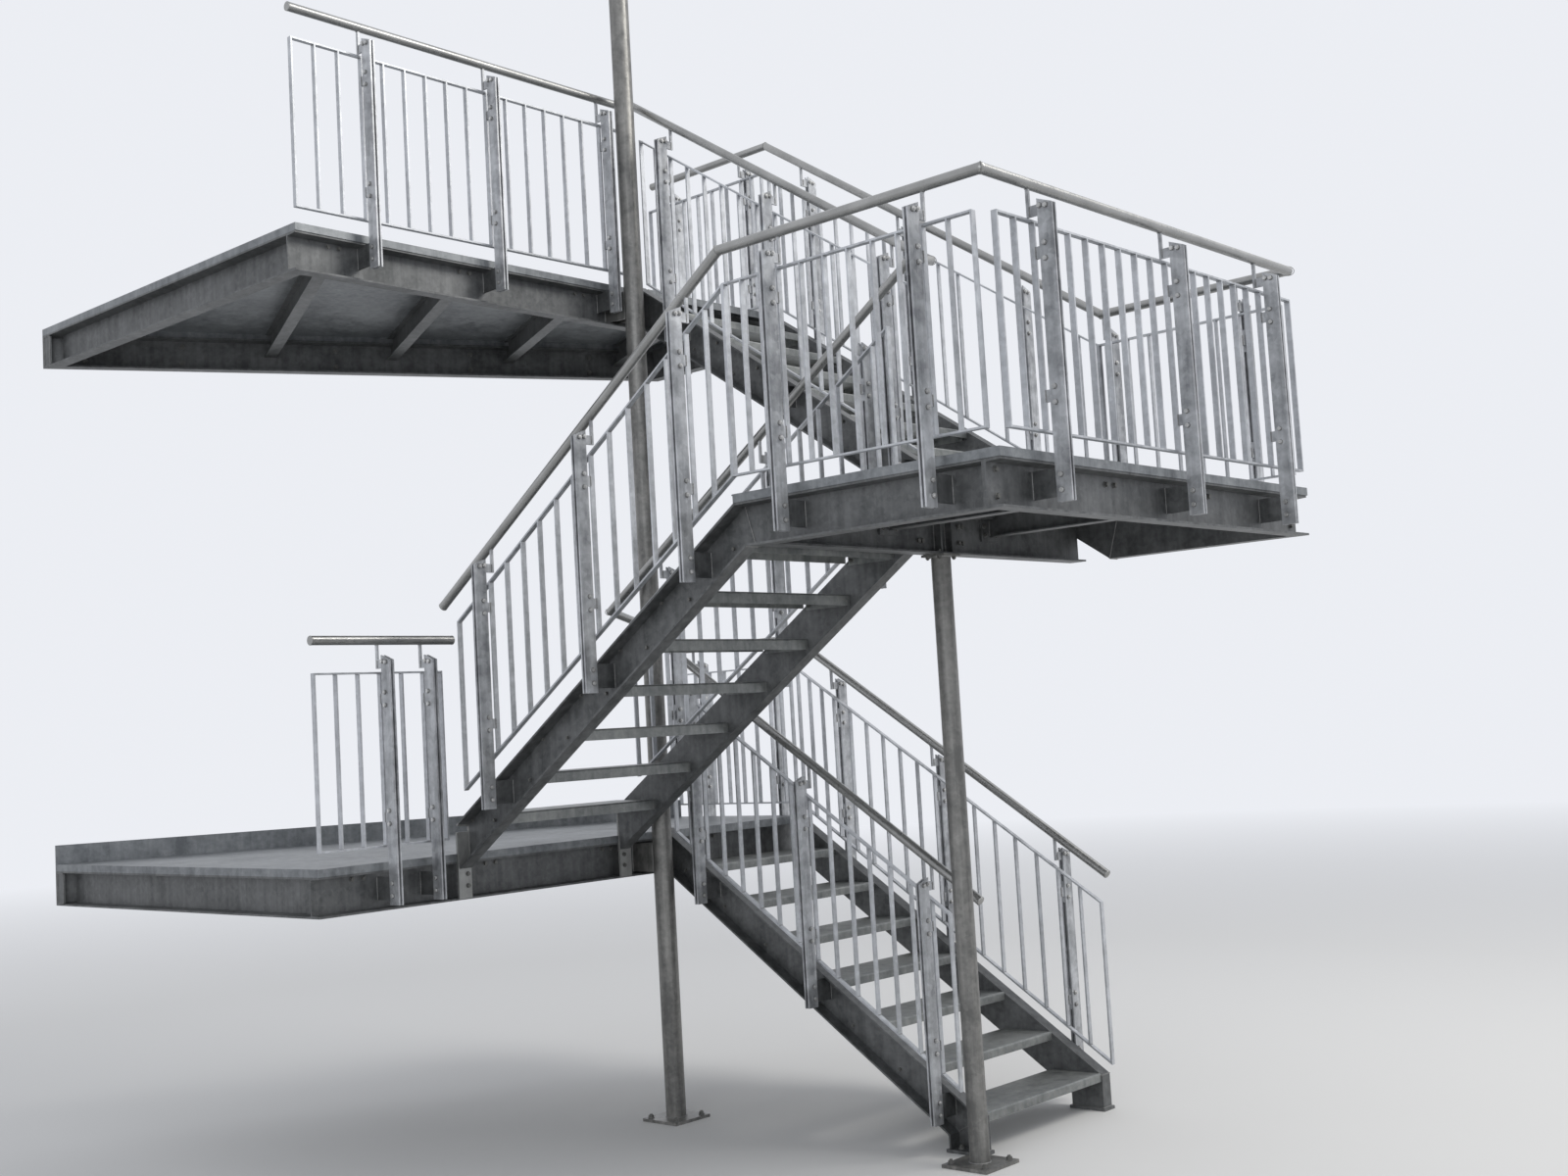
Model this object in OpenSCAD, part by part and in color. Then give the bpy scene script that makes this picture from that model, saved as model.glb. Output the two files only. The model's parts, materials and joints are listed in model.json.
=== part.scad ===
// Outdoor switchback stair of galvanized steel: three flights, two platforms and a mid landing.
// The flights run along X, outwards from the platforms, and Y runs across them.
// The origin is the middle of the underside of the tall post's foot plate, at ground level.

/* [Steps] */
// Height of one rise
riser = 180; // [160:1:195]
// Going from one nosing to the next
going = 270; // [250:1:300]
// Treads in each flight, one fewer than its rises
treads_per_flight = 7; // [5:1:9]
// Depth of a folded tread from front to back
tread_depth = 285; // [275:1:320]
// Thickness of the tread sheet
tread_sheet = 4; // [3:1:6]
// Depth of the folded front edge of a tread
nosing_drop = 40; // [30:1:50]
// Depth of the folded back edge of a tread
back_drop = 50; // [40:1:60]

/* [Plan] */
// Width of a flight over its stringers
flight_w = 1075; // [900:5:1300]
// Gap between the near and the far flight
well_gap = 235; // [180:5:400]
// Depth of the mid landing along X
landing_depth = 1310; // [1200:5:1500]
// How far the platforms' front edge stands behind the tall post's axis
front_setback = 130; // [100:1:180]
// How far the top nosing of flights 1 and 3 stands before the platforms' front edge
arrival_lip = 50; // [30:1:80]
// How far the platforms run on past the near flight
platform_run_on = 750; // [500:10:1200]
// Depth of the platforms at their far side
far_depth = 950; // [800:10:1200]
// Turn of the wall behind the platforms, away from Y
wall_turn = 26; // [15:1:35]
// How far the cross beam stands behind the landing nosing
cross_beam_set = 130; // [100:5:250]
// How far the top handrail return stands behind the landing nosing, on the near side
return_set = 140; // [120:5:200]

/* [Channels] */
// Depth of every channel
chan_h = 180; // [160:5:200]
// Flange width of every channel
chan_b = 70; // [60:1:80]
// Web thickness of every channel
chan_web = 8; // [6:0.5:10]
// Flange thickness at the web
chan_root = 13; // [11:0.5:15]
// Flange thickness at the tip
chan_tip = 9; // [8:0.5:10.5]
// Drop of flight 2's channels below its nosing line, measured upright
climb_drop = 42; // [36:1:60]
// Drop of the channels of flights 1 and 3 below their nosing lines, measured upright
fall_drop = 6; // [0:1:30]

/* [Decks] */
// Thickness of a deck sheet
deck_sheet = 5; // [4:1:8]
// Height of the bars between a deck sheet and the beams
deck_pack = 30; // [20:1:30]
// Depth of the folded edge round a deck
deck_edge = 35; // [30:1:50]
// Height of the upstand plate along the wall on the lower platform
upstand_h = 100; // [60:5:150]

/* [Posts] */
// Outer diameter of the tall post
tall_d = 101.6; // [88.9:0.1:139.7]
// Outer diameter of the landing post
landing_d = 88.9; // [76.1:0.1:114.3]
// Wall of both round posts
post_wall = 4; // [3:0.5:8]
// How far the tall post runs up above the upper platform
post_above = 2100; // [1800:10:2400]
// Side of the square foot plates
foot_side = 240; // [200:5:300]
// Thickness of the foot plates
foot_t = 15; // [10:1:25]
// Distance between the anchor holes of a foot plate
foot_pitch = 180; // [150:5:240]
// Radius of the anchor holes
foot_hole_r = 9; // [6:0.5:12]

/* [Railings] */
// Height of the handrail's axis above the decks and the nosing line
handrail_h = 1000; // [900:5:1100]
// Diameter of the handrail tube
handrail_d = 42.4; // [33.7:0.1:48.3]
// Height of the infill panels' lower edge above the decks
panel_lo = 68; // [60:1:100]
// Height of the infill panels' upper edge above the decks
panel_hi = 855; // [800:1:880]
// How much lower the panels stand beside a flight
panel_flight_drop = 22; // [0:1:30]
// Depth of the flat bars of a panel
flat_b = 25; // [20:1:30]
// Thickness of the flat bars of a panel
flat_t = 8; // [6:1:10]
// Greatest spacing of the upright bars
bar_pitch = 126; // [100:1:130]
// Width of one railing post flat
rail_post_b = 65; // [50:1:80]
// Thickness of one railing post flat
rail_post_t = 8; // [6:1:10]
// Gap between the two flats of a railing post
rail_post_gap = 10; // [8:1:12]
// How far a railing post stands outside the deck edge
rail_post_out = 45; // [30:1:60]
// Top of a railing post above the deck or nosing line
rail_post_top = 930; // [900:1:960]
// Foot of a railing post below a deck
deck_post_foot = 190; // [170:1:200]
// Foot of the upper platform's front railing posts below its deck
upper_post_foot = 166; // [160:1:190]
// Foot of a railing post below flight 2's nosing line
climb_post_foot = 205; // [190:1:220]
// Foot of a railing post below the nosing line of flights 1 and 3
fall_post_foot = 162; // [150:1:180]

/* [Hidden] */

galvanized = "#9aa3a8";
bright_tube = "#c3c8cc";
$fn = 48;
eps = 0.01;

// Levels
flight_rise = riser * (treads_per_flight + 1);
z_lower = flight_rise;
z_landing = 2 * flight_rise;
z_upper = 3 * flight_rise;
beam_top = deck_sheet + deck_pack;
slope = atan(riser / going);
flight_run = going * treads_per_flight;

// Lines along X
front_x = -front_setback;
landing_x = front_x + flight_run;
outer_x = landing_x + landing_depth;
arrival_x = front_x + arrival_lip;
cross_x = landing_x + cross_beam_set;

// Lines along Y, the flights' outer edges and the web faces towards the treads
near_y = -well_gap / 2 - flight_w;
near_in_y = -well_gap / 2;
far_in_y = well_gap / 2;
far_y = well_gap / 2 + flight_w;
left_y = near_y - platform_run_on;

// The wall line behind the platforms
function wall_x(y) = front_x - far_depth - (far_y - y) * tan(wall_turn);

// Nosing lines: one climbs towards +X from a level, the other comes down towards +X from a level
function line_up(x, z0) = z0 + riser + (x - front_x) * riser / going;
function line_down(x, z0) = z0 - (x - arrival_x) * riser / going;

foot_x = arrival_x + flight_run + 5;
far_knee_x = arrival_x + flight_run + going;

// Places of the railing posts along each side
flight_2_post_x = [220, 944, 1564];
landing_side_post_x = [2091, 2807];
landing_outer_post_y = [-902, 50, 856];
fall_near_post_x = [219, 927, 1635];
fall_far_post_x = [182, 853, 1590];
lower_front_post_y = [-1594, -1357];
upper_front_post_y = [-1566, -834, -81];
side_post_x = [-300, -900];

// Sizes of joining pieces
plate = 10;
end_plate_t = 12;
climb_plate = 210;
fall_plate = 205;
bend_r = 9;
cleat_t = 8;
cleat_in = 25;
notch = 10;
weld = 1;
clear = 2;
big = 8000;

// A channel along +X with its top at z = 0, its web towards +Y and its flanges pointing to -Y
module channel(len) {
    rotate([90, 0, 90])
        linear_extrude(len)
            polygon([
                [0, 0], [chan_b, 0], [chan_b, -chan_h], [0, -chan_h],
                [0, -chan_h + chan_tip], [chan_b - chan_web, -chan_h + chan_root],
                [chan_b - chan_web, -chan_root], [0, -chan_tip]
            ]);
}

// A rolled I beam along +X with its top at z = 0, middle on y = 0
module i_beam(len, h, b, web, flange) {
    rotate([90, 0, 90])
        linear_extrude(len)
            polygon([
                [-b / 2, 0], [b / 2, 0], [b / 2, -flange], [web / 2, -flange],
                [web / 2, flange - h], [b / 2, flange - h], [b / 2, -h], [-b / 2, -h],
                [-b / 2, flange - h], [-web / 2, flange - h], [-web / 2, -flange], [-b / 2, -flange]
            ]);
}

// All space before or after a plane through (x, z), turned by tilt from upright
module space_before(x, z, tilt = 0) {
    translate([x, 0, z])
        rotate([0, -tilt, 0])
            translate([-big, -big / 2, -big])
                cube([big, big, 2 * big]);
}

module space_after(x, z, tilt = 0) {
    translate([x, 0, z])
        rotate([0, -tilt, 0])
            translate([0, -big / 2, -big])
                cube([big, big, 2 * big]);
}

// Places that have the outside of an edge towards -Y, +Y or +X
module edge_near(y) {
    translate([0, y, 0])
        children();
}

module edge_far(y) {
    translate([0, y, 0])
        mirror([0, 1, 0])
            children();
}

module edge_outer(x) {
    translate([x, 0, 0])
        rotate([0, 0, 90])
            children();
}

// Untrimmed channel below a nosing line that climbs towards +X
module raked_up(z0, x0, x1) {
    len = (x1 - x0) / cos(slope);
    translate([x0, 0, line_up(x0, z0) - climb_drop])
        rotate([0, -slope, 0])
            translate([-chan_h, 0, 0])
                channel(len + 2 * chan_h);
}

// Untrimmed channel below a nosing line that falls towards +X
module raked_down(z0, x0, x1) {
    len = (x1 - x0) / cos(slope);
    translate([x0, 0, line_down(x0, z0) - fall_drop])
        rotate([0, slope, 0])
            translate([-chan_h, 0, 0])
                channel(len + 2 * chan_h);
}

// Plate across a channel's upright end, bolted against the beam behind it
module hanging_plate(x, z_top, z_low) {
    translate([x, -7, z_low])
        cube([end_plate_t, chan_b + 5, z_top - z_low]);
}

// Foot plate with four anchor holes, its underside at z = 0
module foot_plate() {
    difference() {
        translate([-foot_side / 2, -foot_side / 2, 0])
            cube([foot_side, foot_side, foot_t]);
        for (sx = [-1, 1], sy = [-1, 1])
            translate([sx * foot_pitch / 2, sy * foot_pitch / 2, -eps])
                cylinder(h = foot_t + 2 * eps, r = foot_hole_r);
    }
}

// Round tube standing on its foot plate and closed by a head plate
module round_post(d, top_z, head) {
    foot_plate();
    difference() {
        cylinder(h = top_z - plate, d = d);
        translate([0, 0, foot_t])
            cylinder(h = top_z - plate - foot_t, d = d - 2 * post_wall);
    }
    translate([-head / 2, -head / 2, top_z - plate])
        cube([head, head, plate]);
}

module tall_post() {
    web_face = front_x - chan_b + chan_web;
    color(galvanized) {
        round_post(tall_d, z_upper + post_above, 180);
        for (level = [z_lower, z_upper], side = [-1, 1])
            translate([web_face, side * 28 - plate / 2, level - beam_top - chan_h + chan_root + 5])
                cube([-web_face - tall_d / 2 + 12, plate, chan_h - 2 * chan_root - 10]);
    }
}

module landing_post() {
    color(galvanized)
        translate([cross_x, 0, 0])
            round_post(landing_d, z_landing - beam_top - chan_h, 124);
}

// Front channel of a platform, its flanges pointing outwards
module front_beam(level) {
    color(galvanized)
        edge_outer(front_x)
            translate([left_y, 0, level - beam_top])
                channel(far_y - left_y);
}

module lower_front_beam() {
    front_beam(z_lower);
}

module upper_front_beam() {
    front_beam(z_upper);
}

// Flat outline of a platform inside its front beam's web and a depth before the wall
module platform_inside(depth) {
    back = depth / cos(wall_turn);
    polygon([
        [front_x - chan_b, left_y], [front_x - chan_b, far_y],
        [wall_x(far_y) + back, far_y], [wall_x(left_y) + back, left_y]
    ]);
}

// Flat outline of a whole platform
module platform_outline() {
    polygon([[front_x, left_y], [front_x, far_y], [wall_x(far_y), far_y], [wall_x(left_y), left_y]]);
}

module side_beams(level) {
    len = front_x - wall_x(left_y);
    color(galvanized)
        intersection() {
            union() {
                edge_near(left_y)
                    translate([wall_x(left_y), 0, level - beam_top])
                        channel(len);
                edge_far(far_y)
                    translate([wall_x(left_y), 0, level - beam_top])
                        channel(len);
            }
            translate([0, 0, level - 2 * chan_h])
                linear_extrude(2 * chan_h)
                    platform_inside(chan_b);
        }
}

module lower_side_beams() {
    side_beams(z_lower);
}

module upper_side_beams() {
    side_beams(z_upper);
}

// Channel bolted to the wall behind a platform, its web against the wall
module wall_beam(level) {
    run = (far_y - left_y) / cos(wall_turn);
    color(galvanized)
        intersection() {
            translate([wall_x(left_y), left_y, level - beam_top])
                rotate([0, 0, 90 - wall_turn])
                    translate([-chan_h, -chan_b, 0])
                        channel(run + 2 * chan_h);
            translate([-big, left_y, level - 2 * chan_h])
                cube([big, far_y - left_y, 2 * chan_h]);
        }
}

module lower_wall_beam() {
    wall_beam(z_lower);
}

module upper_wall_beam() {
    wall_beam(z_upper);
}

// Joists of rolled I beam right under the deck sheets
joist_h = 120;
joist_b = 64;
joist_web = 4.4;
joist_flange = 6.3;
joist_turn = 24.2;
joist_pitch = 745;
first_joist_y = -1753;
joists = 4;
cleat_w = 130;
cleat_h = 100;

// Places its children at the start of each platform joist, with +X along it
module along_joists() {
    for (i = [0 : joists - 1])
        translate([front_x, first_joist_y + i * joist_pitch])
            rotate(180 - joist_turn)
                translate([-chan_h, 0])
                    children();
}

// Flat outline of a platform between its front and side beams, to a depth before the wall
module platform_core(depth) {
    intersection() {
        platform_inside(depth);
        translate([-big, left_y + chan_b])
            square([big, far_y - left_y - 2 * chan_b]);
    }
}

// Joists with their tops coped under the wall beam's flange and an end plate on the front beam's web
module platform_joists(level) {
    joist_top = level - deck_sheet;
    cope_h = deck_pack + chan_root + clear;
    web_x = front_x - chan_b;
    color(galvanized) {
        difference() {
            intersection() {
                translate([0, 0, joist_top])
                    along_joists()
                        i_beam(big / 2, joist_h, joist_b, joist_web, joist_flange);
                translate([0, 0, joist_top - 2 * joist_h])
                    linear_extrude(3 * joist_h)
                        platform_core(chan_web);
            }
            translate([wall_x(left_y), left_y, joist_top - cope_h])
                rotate(90 - wall_turn)
                    translate([-big / 2, -chan_b, 0])
                        cube([2 * big, 2 * chan_b, 2 * cope_h]);
        }
        for (i = [0 : joists - 1])
            translate([
                web_x - plate,
                first_joist_y + i * joist_pitch + chan_b * tan(joist_turn) - cleat_w / 2,
                joist_top - joist_h + clear
            ])
                cube([plate, cleat_w, cleat_h]);
    }
}

module lower_joists() {
    platform_joists(z_lower);
}

module upper_joists() {
    platform_joists(z_upper);
}

// Folded front edge of a platform's deck between two places along Y
module deck_front(y0, y1) {
    translate([front_x, y0, -deck_edge])
        cube([deck_sheet, y1 - y0, deck_edge]);
}

// Bars that carry a platform's deck sheet on its beams
module deck_bars() {
    bar = 60;
    linear_extrude(deck_pack + weld)
        intersection() {
            platform_outline();
            union() {
                translate([front_x - bar, left_y])
                    square([bar, far_y - left_y]);
                for (y = [left_y, far_y - bar])
                    translate([-big, y])
                        square([big, bar]);
                translate([wall_x(left_y), left_y])
                    rotate(90 - wall_turn)
                        translate([-chan_h, -bar])
                            square([big, 2 * bar]);
            }
        }
}

// Deck sheet with its bars, its folded front edge between the given places and its arrival lip
module platform_deck(level, fronts) {
    color(galvanized)
        translate([0, 0, level]) {
            translate([0, 0, -deck_sheet])
                linear_extrude(deck_sheet)
                    platform_outline();
            translate([0, 0, -beam_top])
                deck_bars();
            for (span = fronts)
                deck_front(span[0], span[1]);
            translate([front_x, far_in_y + chan_b, -deck_sheet])
                cube([arrival_lip, flight_w - 2 * chan_b, deck_sheet]);
            translate([arrival_x - deck_sheet, far_in_y + chan_b, -nosing_drop])
                cube([deck_sheet, flight_w - 2 * chan_b, nosing_drop]);
        }
}

module lower_deck() {
    platform_deck(z_lower, [
        [left_y, near_y - notch], [near_y + chan_b, near_in_y - chan_b], [near_in_y + notch, far_in_y - notch]
    ]);
}

module upper_deck() {
    platform_deck(z_upper, [[left_y, far_in_y - notch]]);
}

// Upstand along the wall on the lower platform
module lower_upstand() {
    color(galvanized)
        intersection() {
            translate([wall_x(left_y), left_y, z_lower])
                rotate([0, 0, 90 - wall_turn])
                    translate([0, -deck_sheet, 0])
                        cube([big, deck_sheet, upstand_h]);
            translate([-big, left_y, z_lower])
                cube([big, far_y - left_y, upstand_h]);
        }
}

landing_top = z_landing - beam_top;
near_kink_x = landing_x + (climb_drop - beam_top) * going / riser;
far_kink_x = far_knee_x - (fall_drop - beam_top) * going / riser;

// Plate that closes a landing beam's end and is bolted to the outer beam's web
module beam_end_plate() {
    translate([outer_x - chan_b - end_plate_t, 0, landing_top - chan_h])
        cube([end_plate_t, chan_b, chan_h]);
}

module landing_near_beam() {
    color(galvanized)
        edge_near(near_y)
            difference() {
                translate([near_kink_x - chan_h, 0, landing_top])
                    channel(outer_x - near_kink_x + chan_h - chan_b);
                space_before(near_kink_x, landing_top, slope / 2);
            }
    color(galvanized)
        edge_near(near_y)
            beam_end_plate();
}

module landing_far_beam() {
    color(galvanized)
        edge_far(far_y)
            difference() {
                translate([far_kink_x - chan_h, 0, landing_top])
                    channel(outer_x - far_kink_x + chan_h - chan_b);
                space_before(far_kink_x, landing_top, -slope / 2);
            }
    color(galvanized)
        edge_far(far_y)
            beam_end_plate();
}

module landing_outer_beam() {
    color(galvanized)
        edge_outer(outer_x)
            translate([near_y, 0, landing_top])
                channel(far_y - near_y);
}

cross_b = 91;
cross_web = 5.3;
cross_flange = 8;

// Cross beam over the round post, with stiffeners above the post
module landing_cross_beam() {
    color(galvanized)
        translate([cross_x, near_y + chan_b, landing_top])
            rotate([0, 0, 90])
                i_beam(far_y - near_y - 2 * chan_b, chan_h, cross_b, cross_web, cross_flange);
    color(galvanized)
        for (y = [-40, 40])
            translate([cross_x - cross_b / 2 + 4, y - plate / 2, landing_top - chan_h + cross_flange - weld])
                cube([cross_b - 8, plate, chan_h - 2 * cross_flange + 2 * weld]);
}

// Joists of the mid landing, coped so that their webs reach the cross beam's web, with end plates
joist_y = 371;

module landing_joist() {
    flange_x = cross_x + cross_b / 2 + clear;
    web_x = cross_x + cross_web / 2;
    joist_top = z_landing - deck_sheet;
    cope_z = landing_top - cross_flange - clear;
    end_x = outer_x - chan_b;
    color(galvanized)
        for (y = [-joist_y, joist_y]) {
            translate([flange_x, y, joist_top])
                i_beam(end_x - flange_x, joist_h, joist_b, joist_web, joist_flange);
            translate([web_x, y - joist_web / 2, joist_top - joist_h])
                cube([flange_x - web_x + weld, joist_web, cope_z - joist_top + joist_h]);
            translate([web_x, y - cleat_w / 2, cope_z - cleat_h])
                cube([plate, cleat_w, cleat_h]);
            translate([end_x - plate, y - cleat_w / 2, cope_z - cleat_h])
                cube([plate, cleat_w, cleat_h]);
        }
}

// Flat outline of the landing's sheet, cut out round the channels that come down through it
module landing_outline() {
    cross_edge = cross_x - cross_b / 2;
    polygon([
        [landing_x, near_y], [outer_x, near_y], [outer_x, far_y], [far_knee_x + notch, far_y],
        [far_knee_x + notch, far_y - chan_b], [landing_x, far_y - chan_b],
        [landing_x, far_in_y + chan_b], [cross_edge, far_in_y + chan_b],
        [cross_edge, far_in_y], [landing_x, far_in_y]
    ]);
}

module landing_deck() {
    bar = 60;
    color(galvanized)
        translate([0, 0, z_landing]) {
            translate([0, 0, -deck_sheet])
                linear_extrude(deck_sheet)
                    landing_outline();
            translate([near_kink_x + notch, near_y, -beam_top])
                cube([outer_x - near_kink_x - notch, bar, deck_pack]);
            translate([far_kink_x + notch, far_y - bar, -beam_top])
                cube([outer_x - far_kink_x - notch, bar, deck_pack]);
            translate([outer_x - bar, near_y, -beam_top])
                cube([bar, far_y - near_y, deck_pack]);
            translate([cross_x - bar / 2, near_y, -beam_top])
                cube([bar, far_y - chan_b - near_y, deck_pack]);
            translate([near_kink_x, near_y - deck_sheet, -deck_edge])
                cube([outer_x + deck_sheet - near_kink_x, deck_sheet, deck_edge]);
            translate([far_knee_x + notch, far_y, -deck_edge])
                cube([outer_x + deck_sheet - far_knee_x - notch, deck_sheet, deck_edge]);
            translate([outer_x, near_y - deck_sheet, -deck_edge])
                cube([deck_sheet, far_y - near_y + 2 * deck_sheet, deck_edge]);
            translate([landing_x, near_y + chan_b, -nosing_drop])
                cube([deck_sheet, far_in_y - near_y - chan_b, nosing_drop]);
            translate([landing_x, far_in_y + chan_b, -nosing_drop])
                cube([deck_sheet, flight_w - 2 * chan_b, nosing_drop]);
        }
}

// Flight 1's lower ends turn upright at a mitre through this point
foot_z = line_down(foot_x, z_lower) - fall_drop;
foot_turn = -(slope + 90) / 2;

// Upright foot of a stringer, standing on its foot plate
module stringer_foot() {
    difference() {
        translate([foot_x, 0, foot_z + chan_h])
            rotate([0, 90, 0])
                channel(foot_z + chan_h - foot_t);
        space_before(foot_x, foot_z, foot_turn);
    }
    translate([foot_x - chan_h - 10, -10, 0])
        cube([chan_h + 20, chan_b + 20, foot_t]);
}

module flight_1_feet() {
    color(galvanized) {
        edge_near(far_in_y)
            stringer_foot();
        edge_far(far_y)
            stringer_foot();
    }
}

// All space above the level end of a falling channel, a little over the platform
module space_over(level) {
    translate([front_x - weld, -big / 2, level + notch])
        cube(big);
}

// End of an inner stringer's web between the cross beam's flanges, with its end plate
module stringer_tongue() {
    flange_x = cross_x - cross_b / 2;
    web_x = cross_x - cross_web / 2;
    low_z = landing_top - chan_h + cross_flange + clear;
    tall = chan_h - 2 * cross_flange - 2 * clear;
    translate([flange_x - notch, chan_b - chan_web, low_z])
        cube([web_x - flange_x + notch, chan_web, tall]);
    translate([web_x - plate, 0, low_z])
        cube([plate, chan_b, tall]);
}

module ground_stringer() {
    difference() {
        raked_down(z_lower, front_x, foot_x);
        space_before(front_x, 0);
        space_over(z_lower);
        space_after(foot_x, foot_z, foot_turn);
    }
    hanging_plate(front_x, z_lower, z_lower - fall_plate);
}

module flight_1_stringers() {
    color(galvanized) {
        edge_near(far_in_y)
            ground_stringer();
        edge_far(far_y)
            ground_stringer();
    }
}

module flight_2_stringers() {
    color(galvanized) {
        edge_near(near_y) {
            difference() {
                raked_up(z_lower, front_x, near_kink_x);
                space_before(front_x, 0);
                space_after(near_kink_x, landing_top, slope / 2);
            }
            hanging_plate(front_x, z_lower + 100, z_lower - climb_plate);
        }
        edge_far(near_in_y) {
            difference() {
                raked_up(z_lower, front_x, near_kink_x);
                space_before(front_x, 0);
                space_after(cross_x - cross_b / 2, 0);
                translate([0, -1, landing_top])
                    cube([big, chan_b + 2, big]);
            }
            stringer_tongue();
            hanging_plate(front_x, z_lower + 100, z_lower - climb_plate);
        }
    }
}

module flight_3_stringers() {
    color(galvanized) {
        edge_near(far_in_y) {
            difference() {
                raked_down(z_upper, front_x, far_kink_x);
                space_before(front_x, 0);
                space_over(z_upper);
                space_after(cross_x - cross_b / 2, 0);
            }
            stringer_tongue();
            hanging_plate(front_x, z_upper, z_upper - fall_plate);
        }
        edge_far(far_y) {
            difference() {
                raked_down(z_upper, front_x, far_kink_x);
                space_before(front_x, 0);
                space_over(z_upper);
                space_after(far_kink_x, landing_top, -slope / 2);
            }
            hanging_plate(front_x, z_upper, z_upper - fall_plate);
        }
    }
}

// Outline between two uprights under a level top, its upper corners rounded
module fold_outline(x0, x1, top, low, r) {
    for (x = [x0 + r, x1 - r])
        translate([x, top - r])
            circle(r);
    translate([x0 + r, low])
        square([x1 - x0 - 2 * r, top - low]);
    translate([x0, low])
        square([x1 - x0, top - r - low]);
}

// Section of a folded tread, its nosing at x = 0 and its top at y = 0
module tread_section() {
    difference() {
        fold_outline(0, tread_depth, 0, -back_drop, bend_r);
        fold_outline(
            tread_sheet, tread_depth - tread_sheet,
            -tread_sheet, -2 * back_drop, bend_r - tread_sheet
        );
        translate([-notch, -2 * back_drop])
            square([2 * notch, 2 * back_drop - nosing_drop]);
    }
}

// Folded tread with its nosing at x = 0 and its back towards +X, its top at z = 0, and its end cleats
module tread() {
    w = flight_w - 2 * chan_b;
    translate([0, w, 0])
        rotate([90, 0, 0])
            linear_extrude(w)
                tread_section();
    for (y = [0, w - cleat_t])
        translate([cleat_in, y, -back_drop])
            cube([tread_depth - 2 * cleat_in, cleat_t, back_drop - tread_sheet + weld]);
}

module treads_up(z0) {
    for (k = [0 : treads_per_flight - 1])
        translate([front_x + k * going, near_y + chan_b, z0 + (k + 1) * riser])
            tread();
}

module treads_down(z0) {
    for (k = [1 : treads_per_flight])
        translate([arrival_x + k * going, far_y - chan_b, z0 - k * riser])
            rotate([0, 0, 180])
                tread();
}

module flight_1_treads() {
    color(galvanized)
        treads_down(z_lower);
}

module flight_2_treads() {
    color(galvanized)
        treads_up(z_lower);
}

module flight_3_treads() {
    color(galvanized)
        treads_down(z_upper);
}

// Sizes of the railing posts' lugs, arms and brackets, and how far out a post and a panel's face stand
post_back = rail_post_out + rail_post_b;
lug_h = 105;
neck_h = 45;
lug_in = 14;
lug_low = 133;
lug_high = 123;
panel_face = -22.5;
arm_drop = 60;
arm_h = 40;
stem = 14;
bracket_rise = 20;
bracket_h = 105;

// Railing post: two flats that clamp a bracket at the foot, two lugs of the panel and the handrail's arm
module rail_post(foot, drop = 0) {
    for (side = [-1, 1])
        translate([side * (rail_post_gap + rail_post_t) / 2 + rail_post_t / 2, 0, 0])
            rotate([90, 0, -90])
                linear_extrude(rail_post_t)
                    polygon([
                        [rail_post_out, -foot], [post_back, -foot],
                        [post_back, rail_post_top - 25], [rail_post_out, rail_post_top]
                    ]);
    for (z_mid = [panel_lo + lug_low, panel_hi - lug_high]) {
        translate([-rail_post_gap / 2, lug_in - post_back, z_mid - drop - lug_h / 2])
            cube([rail_post_gap, rail_post_b - lug_in, lug_h]);
        translate([-rail_post_gap / 2, -rail_post_out - notch, z_mid - drop - neck_h / 2])
            cube([rail_post_gap, panel_face + rail_post_out + notch, neck_h]);
    }
    translate([-rail_post_gap / 2, lug_in - post_back, rail_post_top - arm_drop])
        cube([rail_post_gap, stem / 2 - lug_in + post_back, arm_h]);
    translate([-rail_post_gap / 2, -stem / 2, rail_post_top - arm_drop])
        cube([rail_post_gap, stem, handrail_h - rail_post_top + arm_drop - handrail_d / 2 + weld]);
}

// Bracket of a railing post, from the beam's web out between the post's flats
module rail_bracket(foot) {
    translate([-rail_post_gap / 2, lug_in - post_back, bracket_rise - foot])
        cube([rail_post_gap, chan_b - chan_web - lug_in + post_back, bracket_h]);
}

// Places its children at the railing posts of each side of a flight or level
module at_fall_posts(z0) {
    for (x = fall_near_post_x)
        edge_near(far_in_y)
            translate([x, 0, line_down(x, z0)])
                children();
    for (x = fall_far_post_x)
        edge_far(far_y)
            translate([x, 0, line_down(x, z0)])
                children();
}

module at_climb_posts() {
    for (x = flight_2_post_x) {
        edge_near(near_y)
            translate([x, 0, line_up(x, z_lower)])
                children();
        edge_far(near_in_y)
            translate([x, 0, line_up(x, z_lower)])
                children();
    }
}

module at_landing_posts() {
    for (x = landing_side_post_x) {
        edge_near(near_y)
            translate([x, 0, z_landing])
                children();
        edge_far(far_y)
            translate([x, 0, z_landing])
                children();
    }
    edge_outer(outer_x)
        for (y = landing_outer_post_y)
            translate([y, 0, z_landing])
                children();
}

module at_front_posts(level, front_y) {
    edge_outer(front_x)
        for (y = front_y)
            translate([y, 0, level])
                children();
}

module at_side_posts(level) {
    edge_far(far_y)
        for (x = side_post_x)
            translate([x, 0, level])
                children();
}

module flight_1_posts() {
    color(galvanized)
        at_fall_posts(z_lower)
            rail_post(fall_post_foot, panel_flight_drop);
}

module flight_2_posts() {
    color(galvanized)
        at_climb_posts()
            rail_post(climb_post_foot, panel_flight_drop);
}

module flight_3_posts() {
    color(galvanized)
        at_fall_posts(z_upper)
            rail_post(fall_post_foot, panel_flight_drop);
}

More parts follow.
